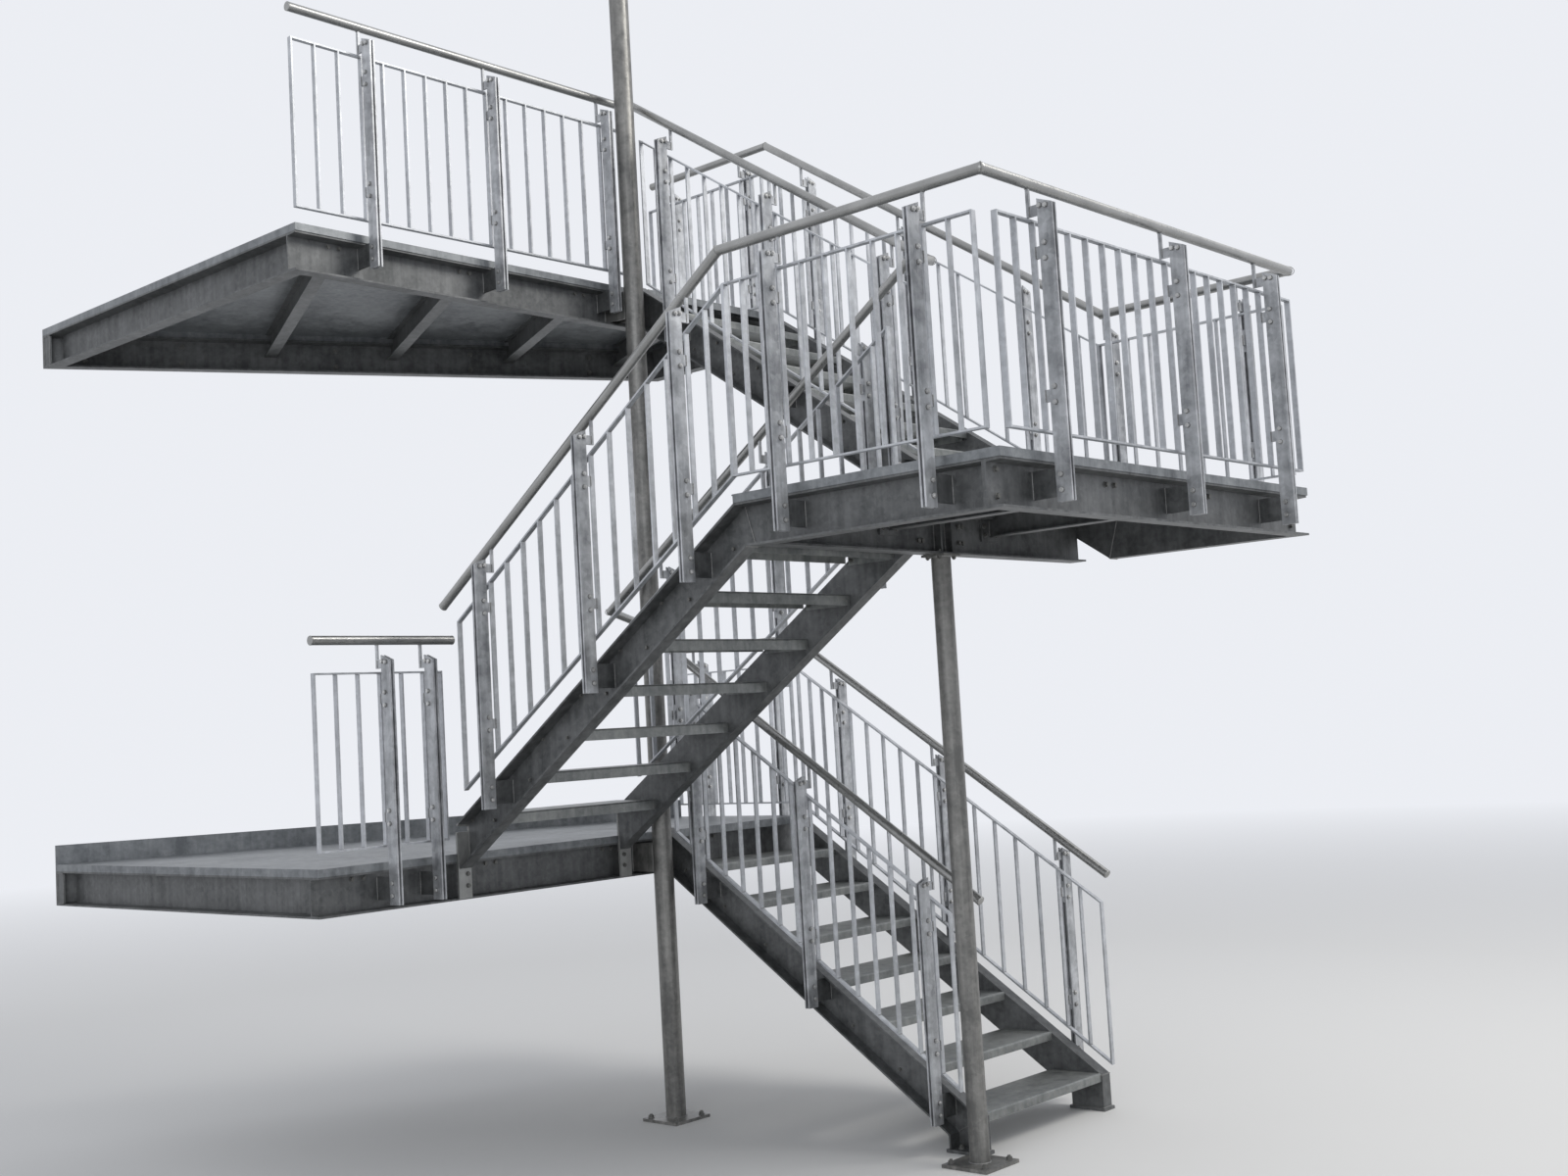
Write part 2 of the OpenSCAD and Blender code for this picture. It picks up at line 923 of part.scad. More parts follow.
module landing_rail_posts() {
    color(galvanized)
        at_landing_posts()
            rail_post(deck_post_foot);
}

module lower_rail_posts() {
    color(galvanized) {
        at_front_posts(z_lower, lower_front_post_y)
            rail_post(deck_post_foot);
        at_side_posts(z_lower)
            rail_post(deck_post_foot);
    }
}

module upper_rail_posts() {
    color(galvanized) {
        at_front_posts(z_upper, upper_front_post_y)
            rail_post(upper_post_foot);
        at_side_posts(z_upper)
            rail_post(deck_post_foot);
    }
}

module rail_brackets() {
    color(galvanized) {
        at_fall_posts(z_lower)
            rail_bracket(fall_post_foot);
        at_climb_posts()
            rail_bracket(climb_post_foot);
        at_fall_posts(z_upper)
            rail_bracket(fall_post_foot);
        at_landing_posts()
            rail_bracket(deck_post_foot);
        at_front_posts(z_lower, lower_front_post_y)
            rail_bracket(deck_post_foot);
        at_front_posts(z_upper, upper_front_post_y)
            rail_bracket(upper_post_foot);
        for (level = [z_lower, z_upper])
            at_side_posts(level)
                rail_bracket(deck_post_foot);
    }
}

// Where a panel's bars stand: each bay between two stations is shared out evenly
function bay_bars(a, b) = let (n = ceil((b - a) / bar_pitch)) [for (i = [0 : n - 1]) a + (b - a) * i / n];
function all_bars(s) = concat([for (i = [0 : len(s) - 2]) each bay_bars(s[i], s[i + 1])], [s[len(s) - 1]]);

// Sloping flat bar over a run, its lower edge at the given height at x0
module raked_flat(x0, x1, z0, z1) {
    t = flat_t / cos(atan2(z1 - z0, x1 - x0));
    translate([0, flat_b / 2, 0])
        rotate([90, 0, 0])
            linear_extrude(flat_b)
                polygon([[x0, z0], [x1, z1], [x1, z1 + t], [x0, z0 + t]]);
}

// Infill panel of flat bars; its lower edge runs from z0 at the first station to z1 at the last
module panel(stations, z0, z1) {
    a = stations[0];
    b = stations[len(stations) - 1];
    lean = (z1 - z0) / (b - a);
    t = flat_t / cos(atan(lean));
    tall = panel_hi - panel_lo;
    translate([0, panel_face + flat_b / 2, 0]) {
        raked_flat(a, b, z0, z1);
        raked_flat(a, b, z0 + tall - t, z1 + tall - t);
        for (x = all_bars(stations))
            translate([min(max(x - flat_t / 2, a), b - flat_t), -flat_b / 2, z0 + (x - a) * lean + t / 2])
                cube([flat_t, flat_b, tall - t]);
    }
}

// Panels beside a level, beside a climbing flight and beside a falling one
module panel_level(stations, level) {
    panel(stations, level + panel_lo, level + panel_lo);
}

module panel_up(x0, x1) {
    lo = panel_lo - panel_flight_drop;
    panel(concat([x0], flight_2_post_x, [x1]), line_up(x0, z_lower) + lo, line_up(x1, z_lower) + lo);
}

module panel_down(x0, posts, x1, z0) {
    lo = panel_lo - panel_flight_drop;
    panel(concat([x0], posts, [x1]), line_down(x0, z0) + lo, line_down(x1, z0) + lo);
}

// Where the raked and level panels of the landing's sides meet
near_panel_knee = landing_x + panel_flight_drop * going / riser;
far_panel_knee = far_knee_x - panel_flight_drop * going / riser;

module flight_1_near_panel() {
    color(galvanized)
        edge_near(far_in_y)
            panel_down(0, fall_near_post_x, foot_x - 80, z_lower);
}

module flight_1_far_panel() {
    color(galvanized)
        edge_far(far_y)
            panel_down(arrival_x, fall_far_post_x, foot_x + 20, z_lower);
}

module flight_2_near_panel() {
    color(galvanized)
        edge_near(near_y) {
            panel_up(front_x + 100, near_panel_knee);
            panel_level(concat([near_panel_knee], landing_side_post_x, [outer_x - 35]), z_landing);
        }
}

module flight_2_inner_panel() {
    color(galvanized)
        edge_far(near_in_y)
            panel_up(front_x + 100, landing_x);
}

module flight_3_inner_panel() {
    color(galvanized)
        edge_near(far_in_y)
            panel_down(0, fall_near_post_x, landing_x, z_upper);
}

module flight_3_far_panel() {
    color(galvanized)
        edge_far(far_y) {
            panel_down(arrival_x, fall_far_post_x, far_panel_knee, z_upper);
            panel_level(concat([far_panel_knee], landing_side_post_x, [outer_x - 50]), z_landing);
        }
}

module landing_outer_panel() {
    color(galvanized)
        edge_outer(outer_x)
            panel_level(concat([near_y + 50], landing_outer_post_y, [far_y - 50]), z_landing);
}

// Panels of a platform: one along its front to the given end, one along its far side
module platform_panels(level, front_posts, front_end) {
    color(galvanized) {
        edge_outer(front_x)
            panel_level(concat([left_y], front_posts, [front_end]), level);
        edge_far(far_y)
            panel_level([wall_x(far_y), side_post_x[1], side_post_x[0], arrival_x - 50], level);
    }
}

module lower_panels() {
    platform_panels(z_lower, lower_front_post_y, near_y - 60);
}

module upper_panels() {
    platform_panels(z_upper, upper_front_post_y, far_in_y - 30);
}

// A tube from p to q
module rod(p, q, d) {
    v = q - p;
    len = norm(v);
    translate(p)
        rotate([0, acos(v[2] / len), atan2(v[1], v[0])])
            cylinder(h = len, d = d);
}

// Handrail tube along a list of points, with a welded corner a little thicker than the tube
module handrail(points) {
    color(bright_tube)
        for (i = [0 : len(points) - 2]) {
            rod(points[i], points[i + 1], handrail_d);
            if (i > 0)
                translate(points[i])
                    sphere(d = handrail_d + 1);
        }
}

// Points of the handrails above the nosing lines and the decks
function rail_up(x, y) = [x, y, line_up(x, z_lower) + handrail_h];
function rail_down(x, y, z0) = [x, y, line_down(x, z0) + handrail_h];
function rail_level(x, y, level) = [x, y, level + handrail_h];

module outer_handrail() {
    handrail([
        rail_up(front_x - 30, near_y),
        rail_level(landing_x, near_y, z_landing),
        rail_level(outer_x, near_y, z_landing),
        rail_level(outer_x, far_y, z_landing),
        rail_level(far_knee_x, far_y, z_landing),
        rail_level(arrival_x, far_y, z_upper),
        rail_level(wall_x(far_y) + 40, far_y, z_upper)
    ]);
}

module inner_handrail() {
    handrail([
        rail_level(front_x, left_y, z_upper),
        rail_level(front_x, far_in_y, z_upper),
        rail_level(arrival_x, far_in_y, z_upper),
        rail_down(landing_x + return_set - 45, far_in_y, z_upper),
        rail_up(landing_x + return_set, near_in_y),
        rail_up(front_x - 45, near_in_y),
        rail_down(front_x - 98, far_in_y, z_lower),
        rail_down(foot_x + 82, far_in_y, z_lower)
    ]);
}

module ground_handrail() {
    handrail([
        rail_down(foot_x + 67, far_y, z_lower),
        rail_level(arrival_x, far_y, z_lower),
        rail_level(wall_x(far_y) + 40, far_y, z_lower)
    ]);
}

module lower_handrail() {
    handrail([rail_level(front_x, left_y, z_lower), rail_level(front_x, near_y + 20, z_lower)]);
}

tall_post();
landing_post();
lower_front_beam();
lower_side_beams();
lower_wall_beam();
lower_joists();
lower_deck();
lower_upstand();
upper_front_beam();
upper_side_beams();
upper_wall_beam();
upper_joists();
upper_deck();
landing_near_beam();
landing_outer_beam();
landing_far_beam();
landing_cross_beam();
landing_joist();
landing_deck();
flight_1_stringers();
flight_2_stringers();
flight_3_stringers();
flight_1_feet();
flight_1_treads();
flight_2_treads();
flight_3_treads();
flight_1_posts();
flight_2_posts();
flight_3_posts();
landing_rail_posts();
lower_rail_posts();
upper_rail_posts();
rail_brackets();
flight_1_near_panel();
flight_1_far_panel();
flight_2_near_panel();
flight_2_inner_panel();
flight_3_inner_panel();
flight_3_far_panel();
landing_outer_panel();
lower_panels();
upper_panels();
outer_handrail();
inner_handrail();
ground_handrail();
lower_handrail();
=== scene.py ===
"""Looks of the galvanized outdoor stair: finishes, bolts, welds, end caps, stage and camera.

Lengths are in metres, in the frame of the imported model: +X runs outwards along the flights,
+Y across them, +Z up, with the origin under the tall post.
"""

import json
import logging
import math
from dataclasses import dataclass, field
from enum import Enum

import bmesh
import bpy
from mathutils import Matrix, Vector

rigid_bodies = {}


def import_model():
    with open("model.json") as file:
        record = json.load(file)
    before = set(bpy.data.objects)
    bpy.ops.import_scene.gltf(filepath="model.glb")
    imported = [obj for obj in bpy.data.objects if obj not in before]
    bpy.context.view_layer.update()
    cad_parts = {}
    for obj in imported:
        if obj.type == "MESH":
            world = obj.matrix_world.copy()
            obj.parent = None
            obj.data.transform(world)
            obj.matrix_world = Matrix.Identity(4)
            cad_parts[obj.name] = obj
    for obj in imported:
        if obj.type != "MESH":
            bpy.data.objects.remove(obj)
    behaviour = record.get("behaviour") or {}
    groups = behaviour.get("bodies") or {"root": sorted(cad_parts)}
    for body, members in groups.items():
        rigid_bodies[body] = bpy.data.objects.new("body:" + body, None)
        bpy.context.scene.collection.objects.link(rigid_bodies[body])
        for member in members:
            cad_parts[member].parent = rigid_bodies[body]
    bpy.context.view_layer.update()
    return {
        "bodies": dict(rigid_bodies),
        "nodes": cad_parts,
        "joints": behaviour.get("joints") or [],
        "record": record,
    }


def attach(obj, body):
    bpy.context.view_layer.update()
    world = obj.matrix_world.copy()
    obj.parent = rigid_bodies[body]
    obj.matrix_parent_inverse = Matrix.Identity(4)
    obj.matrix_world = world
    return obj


log = logging.getLogger("stair")

Point = tuple[float, float, float]
Line = list[Vector]
Material = bpy.types.Material
Socket = bpy.types.NodeSocket

OUT = Vector((1, 0, 0))
UP = Vector((0, 0, 1))

# Most values of a noise texture lie between these two.
NOISE_SPAN = (0.3, 0.7)


class Side(Enum):
    """Which way the outside of an edge faces."""

    NEAR = "near"
    FAR = "far"
    OUTER = "outer"

    @property
    def inward(self) -> int:
        """Sign of Y from a near or far edge inwards."""
        return 1 if self is Side.NEAR else -1


class BoltEnd(Enum):
    """The two kinds of a bolt's ends."""

    HEAD = "head"
    NUT = "nut"


@dataclass(frozen=True)
class StairSizes:
    """Driving sizes of the stair, the same as those of the solids.

    Attributes:
        riser: height of one step.
        going: depth of one step.
        treads: how many treads a flight has.
        front_x: front edge of the platforms.
        arrival_x: where flights 1 and 3 leave their platforms.
        landing_x: edge of the mid landing at flight 2.
        outer_x: outer edge of the landing.
        cross_x: axis of the landing's cross beam and of its post.
        near_y: outer edge of flight 2.
        near_in_y: inner edge of flight 2.
        far_in_y: inner edge of flights 1 and 3.
        far_y: outer edge of flights 1 and 3.
        left_y: near end of the platforms.
        channel_depth: depth of the channels.
        flange: width of a channel.
        flange_t: how far seams and end plates stay off its top and underside.
        web: thickness of its web.
        half_web: half of the web of the landing's cross beam.
        beam_top: how far the channels' tops lie below a deck.
        climb_drop: how far flight 2's channels lie below its nosing line.
        fall_drop: how far those of flights 1 and 3 lie below theirs.
        foot_run: how far flight 1's feet run out past its lowest nosing.
        plate: thickness of the plates at joists and post heads.
        end_plate: thickness of the end plates of stringers and landing beams.
        foot_plate: thickness of the foot plates.
        landing_joist: distance of the landing's joists from its middle.
        handrail_h: height of the handrail's axis above decks and nosing lines.
        tube: diameter of the handrail.
        far_depth: depth of the platforms at their far side.
        wall_turn: angle between the wall and the platforms' front, in degrees.
    """

    riser: float = 0.180
    going: float = 0.270
    treads: int = 7
    front_x: float = -0.130
    arrival_x: float = -0.080
    landing_x: float = 1.760
    outer_x: float = 3.070
    cross_x: float = 1.890
    near_y: float = -1.1925
    near_in_y: float = -0.1175
    far_in_y: float = 0.1175
    far_y: float = 1.1925
    left_y: float = -1.9425
    channel_depth: float = 0.180
    flange: float = 0.070
    flange_t: float = 0.012
    web: float = 0.008
    half_web: float = 0.0027
    beam_top: float = 0.035
    climb_drop: float = 0.042
    fall_drop: float = 0.006
    foot_run: float = 0.005
    plate: float = 0.010
    end_plate: float = 0.012
    foot_plate: float = 0.015
    landing_joist: float = 0.371
    handrail_h: float = 1.0
    tube: float = 0.0424
    far_depth: float = 0.950
    wall_turn: float = 26.0

    @property
    def storey(self) -> float:
        """Height of one flight."""
        return self.riser * (self.treads + 1)

    @property
    def lower(self) -> float:
        """Level of the lower platform."""
        return self.storey

    @property
    def landing(self) -> float:
        """Level of the mid landing."""
        return 2 * self.storey

    @property
    def upper(self) -> float:
        """Level of the upper platform."""
        return 3 * self.storey

    @property
    def slope(self) -> float:
        """Angle of the flights."""
        return math.atan(self.riser / self.going)

    @property
    def foot_x(self) -> float:
        """Outer end of flight 1's feet."""
        return self.arrival_x + self.treads * self.going + self.foot_run

    @property
    def knee_x(self) -> float:
        """Place where flight 3's outer stringer and handrail turn level."""
        return self.arrival_x + (self.treads + 1) * self.going

    def beam_low(self, level: float) -> float:
        """Underside of the channels below a deck."""
        return level - self.beam_top - self.channel_depth

    def line_up(self, x: float) -> float:
        """Nosing line of flight 2 at x."""
        return self.lower + self.riser + (x - self.front_x) * self.riser / self.going

    def line_down(self, x: float, level: float) -> float:
        """Nosing line at x of a flight that falls from a level."""
        return level - (x - self.arrival_x) * self.riser / self.going

    def wall_x(self, y: float) -> float:
        """Place of the wall line behind the platforms."""
        across = (self.far_y - y) * math.tan(math.radians(self.wall_turn))
        return self.front_x - self.far_depth - across


SIZES = StairSizes()


@dataclass(frozen=True)
class EdgePlace:
    """A place on an outer edge of the stair, with its own directions.

    Attributes:
        side: which way the outside faces.
        line: the coordinate of the edge across its run.
        along: the coordinate along its run.
        level: the height of the deck or nosing line there.
    """

    side: Side
    line: float
    along: float
    level: float

    def run_axis(self) -> Vector:
        """Direction along the edge."""
        return Vector((0, 1, 0)) if self.side is Side.OUTER else Vector((1, 0, 0))

    def at(self, along: float, inwards: float, up: float) -> Vector:
        """A point beside this place.

        Args:
            along: distance along the edge's run.
            inwards: distance in from the edge.
            up: height above the deck or nosing line.

        Returns:
            The point in the model's frame.
        """
        if self.side is Side.OUTER:
            return Vector((self.line - inwards, self.along + along, self.level + up))
        across = self.line + self.side.inward * inwards
        return Vector((self.along + along, across, self.level + up))

    def upright(self, along: float, inwards: float, low: float, high: float) -> Line:
        """A line straight up beside this place, from one height to another."""
        return [self.at(along, inwards, low), self.at(along, inwards, high)]


class NodeSheet:
    """Short calls for building a node tree."""

    def __init__(self, tree: bpy.types.NodeTree) -> None:
        """Keeps the tree and clears it."""
        self.tree = tree
        tree.nodes.clear()

    def add(self, kind: str, **values: object) -> bpy.types.Node:
        """Adds a node.

        Args:
            kind: the node's type name.
            values: attributes, or input sockets by name with spaces as underscores.

        Returns:
            The new node.
        """
        node = self.tree.nodes.new(kind)
        for name, value in values.items():
            if hasattr(node, name):
                setattr(node, name, value)
            else:
                self.put(node.inputs[name.replace("_", " ")], value)
        return node

    def put(self, socket: Socket, value: object) -> None:
        """Feeds a socket.

        Args:
            socket: the input to feed.
            value: another socket to link, or a plain value.
        """
        if isinstance(value, Socket):
            self.tree.links.new(value, socket)
        else:
            socket.default_value = value

    def end(self, kind: str, result: Socket) -> None:
        """Adds an output node and feeds its first input."""
        self.put(self.add(kind).inputs[0], result)

    def math(self, operation: str, a: object, b: object = 0.0, clamp: bool = False) -> Socket:
        """Adds a Math node.

        Args:
            operation: what it does.
            a: first value or socket.
            b: second value or socket.
            clamp: keeps the result between 0 and 1.

        Returns:
            Its output.
        """
        node = self.add("ShaderNodeMath", operation=operation, use_clamp=clamp)
        self.put(node.inputs[0], a)
        self.put(node.inputs[1], b)
        return node.outputs[0]

    def noise(self, place: object, scale: float, detail: float = 3.0, rough: float = 0.6) -> Socket:
        """Adds a noise texture.

        Args:
            place: where it is read.
            scale: features per metre.
            detail: octaves.
            rough: weight of the finer octaves.

        Returns:
            Its factor.
        """
        node = self.add(
            "ShaderNodeTexNoise", Vector=place, Scale=scale, Detail=detail, Roughness=rough
        )
        return node.outputs["Fac"]

    def ramp(
        self,
        value: object,
        low: float,
        high: float,
        out_low: float = 0.0,
        out_high: float = 1.0,
    ) -> Socket:
        """Adds a Map Range.

        Args:
            value: what is mapped.
            low: value that gives out_low.
            high: value that gives out_high.
            out_low: result at low and below.
            out_high: result at high and above.

        Returns:
            Its output.
        """
        ends = {"From Min": low, "From Max": high, "To Min": out_low, "To Max": out_high}
        node = self.add("ShaderNodeMapRange")
        for name, number in ends.items():
            node.inputs[name].default_value = number
        self.put(node.inputs["Value"], value)
        return node.outputs["Result"]

    def mix(self, factor: object, a: object, b: object) -> Socket:
        """Mixes two colours.

        Args:
            factor: share of the second colour.
            a: first colour, as three numbers or a socket.
            b: second colour, in the same way.

        Returns:
            The mixed colour.
        """
        # The colours of this node are its inputs 6 and 7 and its output 2.
        node = self.add("ShaderNodeMix", data_type="RGBA")
        self.put(node.inputs["Factor"], factor)
        for index, colour in ((6, a), (7, b)):
            plain = isinstance(colour, tuple)
            self.put(node.inputs[index], (*colour, 1.0) if plain else colour)
        return node.outputs[2]


def new_material(name: str) -> tuple[Material, NodeSheet]:
    """Makes an empty node material.

    Args:
        name: the material's name.

    Returns:
        The material and a sheet for its tree.
    """
    material = bpy.data.materials.new(name)
    material.use_nodes = True
    return material, NodeSheet(material.node_tree)


def shaded(colour: Point, share: float) -> Point:
    """A darker tone of a colour."""
    return tuple(share * c for c in colour)


@dataclass(frozen=True)
class ZincFinish:
    """Hot-dip zinc: crystal patches, cloudy tone, blotches and run marks.

    Attributes:
        name: the material's name.
        pale: colour of the bright patches.
        dull: colour of the weathered patches.
        roughness: middle roughness.
        metallic: how metallic the coat looks.
        spangle: crystals per metre.
        streak: strength of the run marks.
        cloud: strength of the broad tone changes.
        blotches: blotches per metre.
        clouds: broad tone changes per metre.
        mottle: strength of the blotches.
        grain: strength of the crystals.
        runs: features of the run marks per metre, along X, Y and Z.
        run_span: the values of their noise between which they grow.
        dents: fine dents per metre.
        blotch_height: share of the blotches in the relief.
        dent_height: share of the dents in it.
        relief: depth of the relief.
        bump: its strength.
        gloss: what the blotches add to the roughness, at least and at most.
        plate: paler colour of the end plates, where the piece has them; painted light that
            stands in for the light falling on their faces.
        plate_end: X up to which those end plates reach.
        plate_shade: how dark the plates' dull patches are against their bright ones.
        plate_fade: how far the plates' paler colour fades out beyond their end.
    """

    name: str
    pale: Point
    dull: Point
    roughness: float = 0.45
    metallic: float = 0.5
    spangle: float = 55.0
    streak: float = 0.25
    cloud: float = 0.35
    blotches: float = 17.0
    clouds: float = 2.6
    mottle: float = 0.26
    grain: float = 0.12
    runs: Point = (26.0, 26.0, 1.6)
    run_span: tuple[float, float] = (0.35, 0.7)
    dents: float = 240.0
    blotch_height: float = 0.7
    dent_height: float = 0.12
    relief: float = 0.0015
    bump: float = 0.28
    gloss: tuple[float, float] = (-0.07, 0.1)
    plate: Point | None = None
    plate_end: float = 0.0
    plate_shade: float = 0.68
    plate_fade: float = 0.0004

    def blotch(self, sheet: NodeSheet, place: Socket) -> Socket:
        """Noise of the blotches."""
        return sheet.noise(place, self.blotches, detail=4.0)

    def tone(self, sheet: NodeSheet, place: Socket) -> Socket:
        """How pale the coat is from place to place.

        Args:
            sheet: the material's tree.
            place: object coordinates.

        Returns:
            A factor from dull, 0, to pale, 1.
        """
        crystals = sheet.add(
            "ShaderNodeTexVoronoi", Vector=place, Scale=self.spangle, Randomness=1.0
        )
        crystal = sheet.add("ShaderNodeSeparateColor", Color=crystals.outputs["Color"]).outputs[0]
        broad = sheet.noise(place, self.clouds, detail=6.0, rough=0.62)
        blotch = self.blotch(sheet, place)
        stretch = sheet.add("ShaderNodeMapping", Scale=self.runs, Vector=place)
        run = sheet.noise(stretch.outputs[0], scale=1.0)
        tone = sheet.ramp(broad, *NOISE_SPAN, -self.cloud, self.cloud)
        mottle = sheet.ramp(blotch, *NOISE_SPAN, -self.mottle, self.mottle)
        tone = sheet.math("ADD", tone, mottle)
        grain = sheet.ramp(crystal, 0.0, 1.0, -self.grain, self.grain)
        tone = sheet.math("ADD", tone, grain)
        streak = sheet.ramp(run, *self.run_span, self.streak / 2, -self.streak)
        tone = sheet.math("ADD", tone, streak)
        return sheet.math("ADD", tone, 0.5, clamp=True)

    def colour(self, sheet: NodeSheet, place: Socket) -> Socket:
        """The coat's colour.

        Args:
            sheet: the material's tree.
            place: object coordinates.

        Returns:
            The colour from place to place.
        """
        factor = self.tone(sheet, place)
        colour = sheet.mix(factor, self.dull, self.pale)
        if self.plate is None:
            return colour
        # Painted light: the end plates get a paler colour that stands in for the light on their
        # faces.
        painted_lit_plate = sheet.mix(factor, shaded(self.plate, self.plate_shade), self.plate)
        across = sheet.add("ShaderNodeSeparateXYZ", Vector=place).outputs[0]
        faded = self.plate_end + self.plate_fade
        on_plate = sheet.ramp(across, self.plate_end, faded, 1.0, 0.0)
        return sheet.mix(on_plate, colour, painted_lit_plate)

    def build(self) -> Material:
        """Makes the material.

        Returns:
            The material, ready to assign.
        """
        material, sheet = new_material(self.name)
        place = sheet.add("ShaderNodeTexCoord").outputs["Object"]
        colour = self.colour(sheet, place)
        blotch = self.blotch(sheet, place)
        gloss = (self.roughness + change for change in self.gloss)
        rough = sheet.ramp(blotch, *NOISE_SPAN, *gloss)
        dent = sheet.noise(place, self.dents, detail=2.0, rough=0.5)
        broad = sheet.math("MULTIPLY", blotch, self.blotch_height)
        height = sheet.math("ADD", broad, sheet.math("MULTIPLY", dent, self.dent_height))
        bump = sheet.add(
            "ShaderNodeBump", Strength=self.bump, Distance=self.relief, Height=height
        )
        shader = sheet.add(
            "ShaderNodeBsdfPrincipled",
            Base_Color=colour,
            Roughness=rough,
            Normal=bump.outputs[0],
            Metallic=self.metallic,
        )
        sheet.end("ShaderNodeOutputMaterial", shader.outputs[0])
        return material


@dataclass(frozen=True)
class TubeFinish:
    """Satin drawn tube with cloudy tone and a few dull spots.

    Attributes:
        shade: how dark the dull clouds are against the bright ones.
        clouds: tone changes per metre.
        spots: spots per metre.
        spot_span: the values of their noise between which they grow.
        gloss: what the spots add to the roughness, at least and at most.
        relief: depth of the spots.
        bump: strength of that relief.
    """

    name: str
    colour: Point
    roughness: float = 0.3
    metallic: float = 0.85
    shade: float = 0.72
    clouds: float = 5.0
    spots: float = 60.0
    spot_span: tuple[float, float] = (0.3, 0.75)
    gloss: tuple[float, float] = (-0.06, 0.16)
    relief: float = 0.0008
    bump: float = 0.12

    def build(self) -> Material:
        """Makes the material.

        Returns:
            The material, ready to assign.
        """
        material, sheet = new_material(self.name)
        place = sheet.add("ShaderNodeTexCoord").outputs["Object"]
        broad = sheet.ramp(sheet.noise(place, self.clouds, detail=5.0), *NOISE_SPAN)
        spot = sheet.noise(place, self.spots)
        gloss = (self.roughness + change for change in self.gloss)
        rough = sheet.ramp(spot, *self.spot_span, *gloss)
        bump = sheet.add(
            "ShaderNodeBump", Strength=self.bump, Distance=self.relief, Height=spot
        )
        shader = sheet.add(
            "ShaderNodeBsdfPrincipled",
            Base_Color=sheet.mix(broad, shaded(self.colour, self.shade), self.colour),
            Roughness=rough,
            Normal=bump.outputs[0],
        )
        shader.inputs["Metallic"].default_value = self.metallic
        sheet.end("ShaderNodeOutputMaterial", shader.outputs[0])
        return material


@dataclass(frozen=True)
class FastenerFinish:
    """Zinc of bolts and nuts, a little different from place to place.

    Attributes:
        shade: how dark dull zinc is against bright zinc.
        clouds: tone changes per metre.
        cloud_span: the values of their noise between which the tone changes.
        least: share of bright zinc where it is dullest.
        grime: spots of grime per metre.
        grime_span: the values of their noise between which they fade.
        grime_tone: what is added to that share in the grime and beside it.
        dulling: what the grime adds to the roughness.
    """

    name: str
    colour: Point
    roughness: float = 0.35
    metallic: float = 0.8
    shade: float = 0.55
    clouds: float = 9.0
    cloud_span: tuple[float, float] = (0.3, 0.65)
    least: float = 0.35
    grime: float = 150.0
    grime_span: tuple[float, float] = (0.3, 0.6)
    grime_tone: tuple[float, float] = (-0.3, 0.1)
    dulling: float = 0.15

    def build(self) -> Material:
        """Makes the material.

        Returns:
            The material, ready to assign.
        """
        material, sheet = new_material(self.name)
        place = sheet.add("ShaderNodeTexCoord").outputs["Object"]
        cloud = sheet.noise(place, self.clouds)
        clean = sheet.ramp(cloud, *self.cloud_span, self.least, 1.0)
        grime = sheet.noise(place, self.grime)
        tone = sheet.ramp(grime, *self.grime_span, *self.grime_tone)
        factor = sheet.math("ADD", clean, tone, clamp=True)
        dull = self.roughness + self.dulling
        shader = sheet.add(
            "ShaderNodeBsdfPrincipled",
            Base_Color=sheet.mix(factor, shaded(self.colour, self.shade), self.colour),
            Roughness=sheet.ramp(grime, *NOISE_SPAN, dull, self.roughness),
        )
        shader.inputs["Metallic"].default_value = self.metallic
        sheet.end("ShaderNodeOutputMaterial", shader.outputs[0])
        return material


